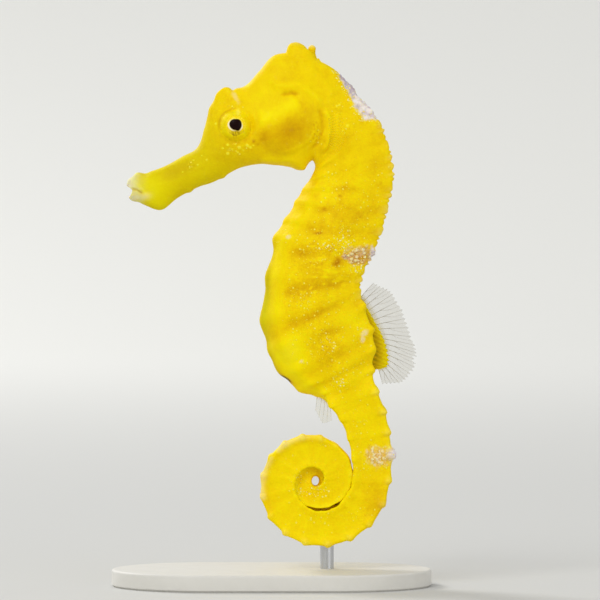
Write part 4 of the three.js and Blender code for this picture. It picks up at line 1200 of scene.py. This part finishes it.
def eye_material():
    sh = Shader("seahorse_eye")
    grains = sh.noise(0.22, 3, 0.6)
    iris = sh.ramp(grains, {0.25: linear(232, 188, 0), 0.5: linear(255, 226, 0), 0.75: linear(255, 236, 70)})
    fleck = sh.step(sh.cells(0.3), 0.3, 0.12)
    iris = sh.mix(sh.scaled(fleck, 0.4), iris, linear(255, 240, 130))
    iris = sh.mix(sh.scaled(sh.mask("smear"), 0.8), iris, linear(140, 98, 10))
    iris = sh.mix(sh.mask("ring"), iris, linear(252, 240, 205))
    sh.set(
        Base_Color=sh.mix(sh.mask("pupil"), iris, linear(24, 4, 3)),
        Normal=sh.bump(grains, 0.02),
        Roughness=0.4,
        Specular_IOR_Level=0.05,
        Coat_Weight=0.07,
        Coat_Roughness=0.05,
        Coat_IOR=1.3,
    )
    return sh.material


def eye_piece(name, node, side, material):
    # Rings lie close together over the front, which is all that shows.
    turn = np.linspace(0, 1, EYE_RINGS)[:, None] ** 1.25 * math.pi
    spoke = np.arange(EYE_SPOKES) * 2 * math.pi / EYE_SPOKES
    x = EYE_RADIUS * np.sin(turn) * np.cos(spoke)
    z = EYE_RADIUS * np.sin(turn) * np.sin(spoke)
    px, pz = x - PUPIL_MIDDLE[0], z - PUPIL_MIDDLE[1]
    pupil_r, pupil_a = np.hypot(px, pz), np.degrees(np.arctan2(pz, px))

    def towards(angle, half_width):
        """1 in the direction of an angle in degrees from the pupil's middle, falling off to both sides."""
        return hill(np.mod(pupil_a - angle + 180, 360) - 180, 0, half_width)

    eighths = np.mod(pupil_a, 360) / 45
    edge = np.interp(eighths, np.arange(9), [*PUPIL_EDGE, PUPIL_EDGE[0]])
    over = pupil_r - edge - PUPIL_NOTCH[2] * towards(*PUPIL_NOTCH[:2])
    depth = EYE_BULGE * np.cos(turn) * np.ones(EYE_SPOKES)
    depth = depth + CORNEA * np.clip(1 - (pupil_r / CORNEA_RADIUS) ** 2, 0, 1) * (depth > 0)
    low_front, low_rear = towards(-158, 60), towards(-30, 34)
    width = 0.03 + 0.2 * low_front + 0.12 * low_rear
    shade = np.minimum(1, 0.12 + low_front + 0.8 * low_rear) * (1 - 0.9 * towards(-76, 15))
    points = np.stack([EYE_CENTRE[0] + x, side * (EYE_CENTRE[1] + depth), EYE_CENTRE[2] + z], axis=-1)
    thing = make_mesh(name, points, outward_faces(points, grid_faces(EYE_RINGS, EYE_SPOKES)))
    set_mask(thing, "pupil", before(over, -0.04, 0.04))
    set_mask(thing, "ring", window(over, -0.03, 0.05, width, width + 0.14) * shade)
    strokes = np.maximum(0.6 + 0.4 * np.sin(12 * px + 3 * pz + 1.5 * np.sin(7 * px)), before(over, 0.1, 0.35))
    set_mask(thing, "smear", towards(-90, 34) * strokes * smoothstep(over, 0.0, 0.1))
    thing.data.materials.append(material)
    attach(thing, "root")
    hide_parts(node)


eye_shader = eye_material()
eye_piece("eyeball_left", "eye_left", -1, eye_shader)
eye_piece("eyeball_right", "eye_right", 1, eye_shader)

# ---- the fins

FIN_STEPS = 26  # from the foot to the margin
RAY_GAP = 8  # columns of the web from one ray to the next
RAY_SIDES = 6
WEB_THICKNESS = 0.05


def fin_web_material(name, margin, alpha, root_alpha):
    sh = Shader(name)
    sh.set(
        Base_Color=sh.mix(sh.mask("root"), margin, linear(205, 188, 40)),
        Alpha=sh.math("ADD", alpha, sh.scaled(sh.mask("root"), root_alpha)),
        Roughness=0.3,
        Specular_IOR_Level=0.25,
        Normal=sh.bump(sh.noise(0.4, 2), 0.02),
    )
    return sh.material


def fin_ray_material(name, margin, alpha):
    sh = Shader(name)
    sh.set(
        Base_Color=sh.mix(sh.mask("root"), margin, linear(228, 206, 20)),
        Alpha=alpha,
        Roughness=0.4,
        Specular_IOR_Level=0.2,
        Normal=sh.bump(sh.noise(0.2, 2), 0.01),
    )
    return sh.material


def curve_through(points):
    """A function of 0 to 1 along a smooth curve through points."""
    knots = np.asarray(points, float)
    ends = 2 * knots[0] - knots[1], 2 * knots[-1] - knots[-2]
    return lambda s: spline(knots, np.atleast_1d(s) * (len(knots) - 1), *ends)


def in_plane(pixels):
    """Pixels of the side view as points on the plane of symmetry."""
    return [(x, 0.0, z) for x, z in (seen(*pixel) for pixel in pixels)]


def ray_tubes(name, lines, across):
    """One mesh of tubes that grow thinner, from lines: (points, share of the fin where it starts, radius)."""
    spin = np.arange(RAY_SIDES)[:, None] * 2 * math.pi / RAY_SIDES
    tubes, masks, quads = [], [], []
    used = 0
    for line, start, thickness in lines:
        sideways = np.cross(unit(np.gradient(line, axis=0)), across)[:, None, :]
        out = np.linspace(start, 1, len(line))
        radius = thickness * (1.15 - 0.75 * out)[:, None, None]
        ring = line[:, None, :] + radius * (np.cos(spin) * sideways + np.sin(spin) * across)
        quads.append(grid_faces(len(line), RAY_SIDES) + used)
        used += len(line) * RAY_SIDES
        tubes.append(ring.reshape(-1, 3))
        masks.append(np.repeat(before(out, 0.0, 0.3), RAY_SIDES))
    thing = make_mesh(name, np.concatenate(tubes), np.concatenate(quads))
    set_mask(thing, "root", np.concatenate(masks))
    return thing


def fin(name, rays, root, tip, across, shaders, ray_radius, ripple=0.1, sag=0.0, fork=1.0, ragged=0.03):
    """A fan of rays with a web between them; root(s) and tip(s) give its foot and its margin.

    Its margin hangs by sag. Beyond fork, a share of its length, each ray has a finer branch beside it.
    """
    across = np.asarray(across, float)
    columns = (rays - 1) * RAY_GAP + 1
    s = np.linspace(0, 1, columns)
    foot, edge = root(s), tip(s)
    phase = s * (rays - 1)
    uneven_tip = hashed(np.rint(phase).astype(np.int64), 0, len(name), 91)
    notch = ragged * np.sin(2 * math.pi * phase) ** 2 + ragged * uneven_tip
    out = np.linspace(0, 1, FIN_STEPS)[:, None] * (1 - notch)
    middle = foot + (edge - foot) * out[..., None]
    middle[..., 2] -= sag * out**2
    wave = ripple * np.sin(phase * math.pi) * out + 1.6 * ripple * np.sin(phase * 0.9) * out**2
    middle = middle + across * wave[..., None]
    half_thick = across * WEB_THICKNESS / 2
    sheet = np.concatenate([middle + half_thick, (middle - half_thick)[::-1]])
    web = make_mesh(name + "_web", sheet, grid_faces(2 * FIN_STEPS, columns, closed=False))
    near_root = before(out, 0.0, 0.25)
    set_mask(web, "root", np.concatenate([near_root, near_root[::-1]]))

    lines = [(middle[:, k * RAY_GAP], 0.0, ray_radius) for k in range(rays)]
    row = np.arange(int(fork * FIN_STEPS), FIN_STEPS)
    for k in range(rays - 1 if fork < 1 else 0):
        slant = k * RAY_GAP + RAY_GAP // 2 * smoothstep(row, row[0] - 1, row[0] + 9)
        low = np.floor(slant).astype(int)
        part = (slant - low)[:, None]
        lines.append((middle[row, low] * (1 - part) + middle[row, low + 1] * part, fork, 0.6 * ray_radius))
    for piece, shader in zip((web, ray_tubes(name + "_rays", lines, across)), shaders):
        piece.data.materials.append(shader)
        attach(piece, "root")
    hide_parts(name)


def on_body(u, side, out=0.0):
    """A point on the carved skin near (u, side), moved outwards."""
    row = int(np.clip(np.searchsorted(U, u), 0, len(U) - 1)) + INSIDE_ROWS
    column = int(np.abs(SIDE - side % SIDES).argmin())
    return skin[row, column] + unit(skin[row, column] - skin[row].mean(axis=0)) * out


DORSAL_RAYS = 18
DORSAL_FLESH = [
    (362, 300), (369, 311), (375.5, 323), (381, 333), (385.5, 344), (388, 356), (387.5, 366), (381, 369),
]
DORSAL_MARGIN = [(374, 281), (393, 291), (406, 314), (414.5, 340), (416, 361), (405.5, 380), (383, 384)]
ANAL_MARGIN = [(315.5, 411), (322.5, 423), (331.5, 421.5)]

dorsal_foot = curve_through([on_body(u, 8, -0.25) for u in np.linspace(TRUNK_END - 3.3, TRUNK_END + 0.9, 24)])
flesh_edge = curve_through(in_plane(DORSAL_FLESH))
fin(
    "dorsal_fin",
    DORSAL_RAYS,
    lambda s: flesh_edge(s) * 0.8 + dorsal_foot(s) * 0.2,
    curve_through(in_plane(DORSAL_MARGIN)),
    (0, 1, 0),
    (
        fin_web_material("seahorse_dorsal_web", linear(150, 140, 100), 0.12, 0.3),
        fin_ray_material("seahorse_dorsal_ray", linear(140, 128, 88), 0.75),
    ),
    ray_radius=0.036,
    sag=0.25,
    fork=0.35,
    ragged=0.07,
)


def dorsal_flesh():
    """The fleshy foot of the dorsal fin: a low yellow crest with a tooth at the base of each ray."""
    steps, columns = 12, (DORSAL_RAYS - 1) * RAY_GAP + 1
    s = np.linspace(0, 1, columns)
    tooth = 0.5 + 0.5 * np.cos(2 * math.pi * s * (DORSAL_RAYS - 1))
    low, high = dorsal_foot(s), flesh_edge(s)
    rise = np.linspace(-0.1, 1, steps)[:, None]
    half_width = np.linspace(0.75, 0.14, steps)[:, None]
    rise, width = np.concatenate([rise, rise[::-1]]), np.concatenate([half_width, -half_width[::-1]])
    toothed = rise * (1 + 0.1 * (tooth - 0.6) * (rise > 0.8))
    crown = low + (high - low) * toothed[..., None]
    crown[..., 1] += width * (0.8 + 0.2 * tooth) * np.sqrt(np.clip(np.minimum(s, 1 - s) * 12, 0.05, 1))
    quads = outward_faces(crown, grid_faces(2 * steps, columns, closed=False))
    foot = make_mesh("dorsal_fin_foot", crown, quads)
    # Dark at the crest's foot, a painted shade between it and the body, growing lighter up the crest.
    set_mask(foot, "tone", -1.15 + 1.1 * smoothstep(rise, 0.25, 0.95) + 0.35 * (tooth - 0.5))
    set_mask(foot, "green", np.full(toothed.shape, 0.75))
    for name in ("specks", "pale", "pink", "cream", "inside"):
        set_mask(foot, name, np.zeros(toothed.shape))
    foot.data.materials.append(skin_shader)
    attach(foot, "root")


dorsal_flesh()
fin(
    "anal_fin",
    5,
    curve_through([on_body(u, 0, -0.1) for u in np.linspace(TRUNK_END + 1.0, TRUNK_END + 1.9, 6)]),
    curve_through(in_plane(ANAL_MARGIN)),
    (0, 1, 0),
    (
        fin_web_material("seahorse_anal_web", linear(214, 214, 190), 0.12, 0.1),
        fin_ray_material("seahorse_anal_ray", linear(190, 190, 160), 0.2),
    ),
    ray_radius=0.07,
    ripple=0.05,
)

PECTORAL_POINTS = 8
PECTORAL_REACH = 3.2
PECTORAL_SPREAD = 0.42  # how far it leans out, against its way to the rear
small_fin_shaders = (
    fin_web_material("seahorse_small_fin_web", linear(250, 218, 0), 0.05, 0.0),
    fin_ray_material("seahorse_small_fin_ray", linear(252, 222, 0), 0.07),
)
share = np.linspace(0, 1, PECTORAL_POINTS)
for side, name in ((-1, "left"), (1, "right")):
    feet = np.array([on_body(15.4 + 1.0 * k, 4.2 - 1.3 * k, 0.05) for k in share]) * (1, side, 1)
    fan = np.radians(38 - 80 * share)
    reach = PECTORAL_REACH * (0.8 + 0.2 * np.sin(math.pi * share))
    way = unit(np.stack([np.cos(fan), 0 * fan + PECTORAL_SPREAD * side, np.sin(fan)], axis=-1))
    fin(
        "pectoral_fin_" + name,
        14,
        curve_through(feet),
        curve_through(feet + way * reach[:, None]),
        unit(np.array([-PECTORAL_SPREAD, side, 0.0])),
        small_fin_shaders,
        ray_radius=0.05,
        ripple=0.02,
    )

# ---- the stand

BASE_RADIUS = 18.0
BASE_STRAIGHT = 10.0  # half the straight stretch between the base's round ends
BASE_HEIGHT = 3
BASE_EDGE = 0.45  # radius of its upper edge
ROD_X = 9.7
ROD_RADIUS = 1.2
ROD_TOP = 9.4


def base_material():
    sh = Shader("stand_base_satin")
    sh.set(
        Base_Color=sh.mix(sh.noise(3, 3), linear(212, 210, 203), linear(222, 220, 214)),
        Roughness=sh.math("ADD", 0.56, sh.scaled(sh.noise(0.8, 3), 0.16)),
        Normal=sh.bump(sh.noise(0.25, 3), 0.006),
        Metallic=0.0,
        Coat_Weight=0.04,
        Coat_Roughness=0.35,
    )
    return sh.material


def rod_material():
    sh = Shader("stand_rod_steel")
    stretched = sh.node("Mapping", {"Vector": sh.place, "Scale": (1 / MM * 3, 1 / MM * 3, 1 / MM * 0.15)})
    grain = sh.node("TexNoise", {"Vector": stretched, "Scale": 1.0, "Detail": 2.0})
    sh.set(
        Base_Color=linear(196, 198, 202),
        Metallic=1.0,
        Roughness=sh.math("ADD", 0.2, sh.scaled(grain, 0.2)),
        Normal=sh.bump(grain, 0.01),
    )
    return sh.material


def stadium(inset):
    ends = [(BASE_STRAIGHT, a) for a in np.radians(np.linspace(-90, 90, 49))]
    ends += [(-BASE_STRAIGHT, a) for a in np.radians(np.linspace(90, 270, 49))]
    return [(x + (BASE_RADIUS - inset) * math.cos(a), (BASE_RADIUS - inset) * math.sin(a)) for x, a in ends]


def circle(inset):
    turns = np.arange(48) * math.pi / 24
    return [(ROD_X + (ROD_RADIUS - inset) * math.cos(a), (ROD_RADIUS - inset) * math.sin(a)) for a in turns]


def solid_piece(name, node, profile, outline, material):
    """A closed body: outline(inset) gives the ring for each (inset, height) of its profile."""
    rings = np.array([[(x, y, z) for x, y in outline(inset)] for inset, z in profile])
    quads = outward_faces(rings, grid_faces(*rings.shape[:2]))
    _, caps = end_caps(quads, *rings.shape[:2])
    thing = make_mesh(name, rings, quads, caps, smooth=False)
    thing.data.materials.append(material)
    for polygon in thing.data.polygons:
        polygon.use_smooth = len(polygon.vertices) == 4
    thing.data.set_sharp_from_angle(angle=math.radians(38))
    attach(thing, "root")
    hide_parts(node)


base_profile = [(0.4, 0.0), (0.0, 0.35)]
for a in np.linspace(math.pi / 2, 0, 7):
    base_profile.append((BASE_EDGE * (1 - math.sin(a)), BASE_HEIGHT - BASE_EDGE * (1 - math.cos(a))))
rod_profile = [(0.0, BASE_HEIGHT - 0.05), (0.0, ROD_TOP - 0.2), (0.2, ROD_TOP)]
solid_piece("stand_base_plate", "stand_base", base_profile, stadium, base_material())
solid_piece("stand_rod_pin", "stand_rod", rod_profile, circle, rod_material())

# ---- floor, light and camera, in metres

FLOOR_FLAT = 1.5
FLOOR_TURN = 1.3  # radius of the curve that rises beyond the flat floor
FLOOR_SPOKES = 120
LIT_POINT = (0.005, 0.0, 0.05)
WORLD_STRENGTH = 0.56
CAMERA_DISTANCE = 0.95
CAMERA_ELEVATION = math.radians(1.0)
SENSOR = 36


def floor():
    """A pale round floor that is flat under the object and the cameras, and curves up beyond them."""
    curve = np.radians(np.linspace(0, 60, 25))
    line = [(FLOOR_FLAT + FLOOR_TURN * math.sin(a), FLOOR_TURN - FLOOR_TURN * math.cos(a)) for a in curve]
    turns = np.arange(FLOOR_SPOKES) * 2 * math.pi / FLOOR_SPOKES
    points = np.array([(r * math.cos(a), r * math.sin(a), z) for r, z in line for a in turns]) / MM
    quads = grid_faces(len(line), FLOOR_SPOKES)[:, ::-1]
    thing = make_mesh("floor_bowl", points, quads, [np.arange(FLOOR_SPOKES)])
    sh = Shader("pale_floor")
    # The floor is painted darker near the middle, where the lamps light it most: painted shade that evens out
    # their pool of light.
    far = sh.step(sh.node("VectorMath", {0: sh.place}, output=1, operation="LENGTH"), 0.2, 2.2)
    sh.set(
        Base_Color=sh.mix(far, linear(206, 206, 203), linear(238, 238, 234)),
        Roughness=0.8,
        Specular_IOR_Level=0.2,
    )
    thing.data.materials.append(sh.material)


def area_light(name, place, size, power, color=(1, 1, 1)):
    data = bpy.data.lights.new(name, "AREA")
    data.size = size
    data.energy = power
    data.color = color
    lamp = bpy.data.objects.new(name, data)
    bpy.context.scene.collection.objects.link(lamp)
    lamp.location = place
    lamp.rotation_mode = "QUATERNION"
    direction = mathutils.Vector(LIT_POINT) - mathutils.Vector(place)
    lamp.rotation_quaternion = direction.to_track_quat("-Z", "Y")


floor()
area_light("key", (-0.62, -1.1, 1.04), 0.77, 9.0, (1.0, 1.0, 0.98))
area_light("fill", (1.09, -1.21, 0.27), 1.1, 5.6)
area_light("rim", (-1.1, 1.42, 1.2), 0.63, 22.5)
world = bpy.data.worlds.new("studio")
world.use_nodes = True
background = world.node_tree.nodes["Background"]
background.inputs["Color"].default_value = (1.0, 1.0, 1.0, 1.0)
background.inputs["Strength"].default_value = WORLD_STRENGTH
scene = bpy.context.scene
scene.world = world
scene.view_settings.view_transform = "Standard"

camera = bpy.data.cameras.new("camera")
camera.sensor_width = SENSOR
camera.lens = SENSOR * CAMERA_DISTANCE / (PICTURE * PIXEL * MM)
camera.clip_start, camera.clip_end = 0.01, 20
view_point = bpy.data.objects.new("camera", camera)
scene.collection.objects.link(view_point)
aim_x, aim_z = seen(PICTURE / 2, PICTURE / 2)
view_point.location = (
    aim_x * MM,
    -CAMERA_DISTANCE * math.cos(CAMERA_ELEVATION),
    aim_z * MM + CAMERA_DISTANCE * math.sin(CAMERA_ELEVATION),
)
view_point.rotation_euler = (math.pi / 2 - CAMERA_ELEVATION, 0, 0)
scene.camera = view_point
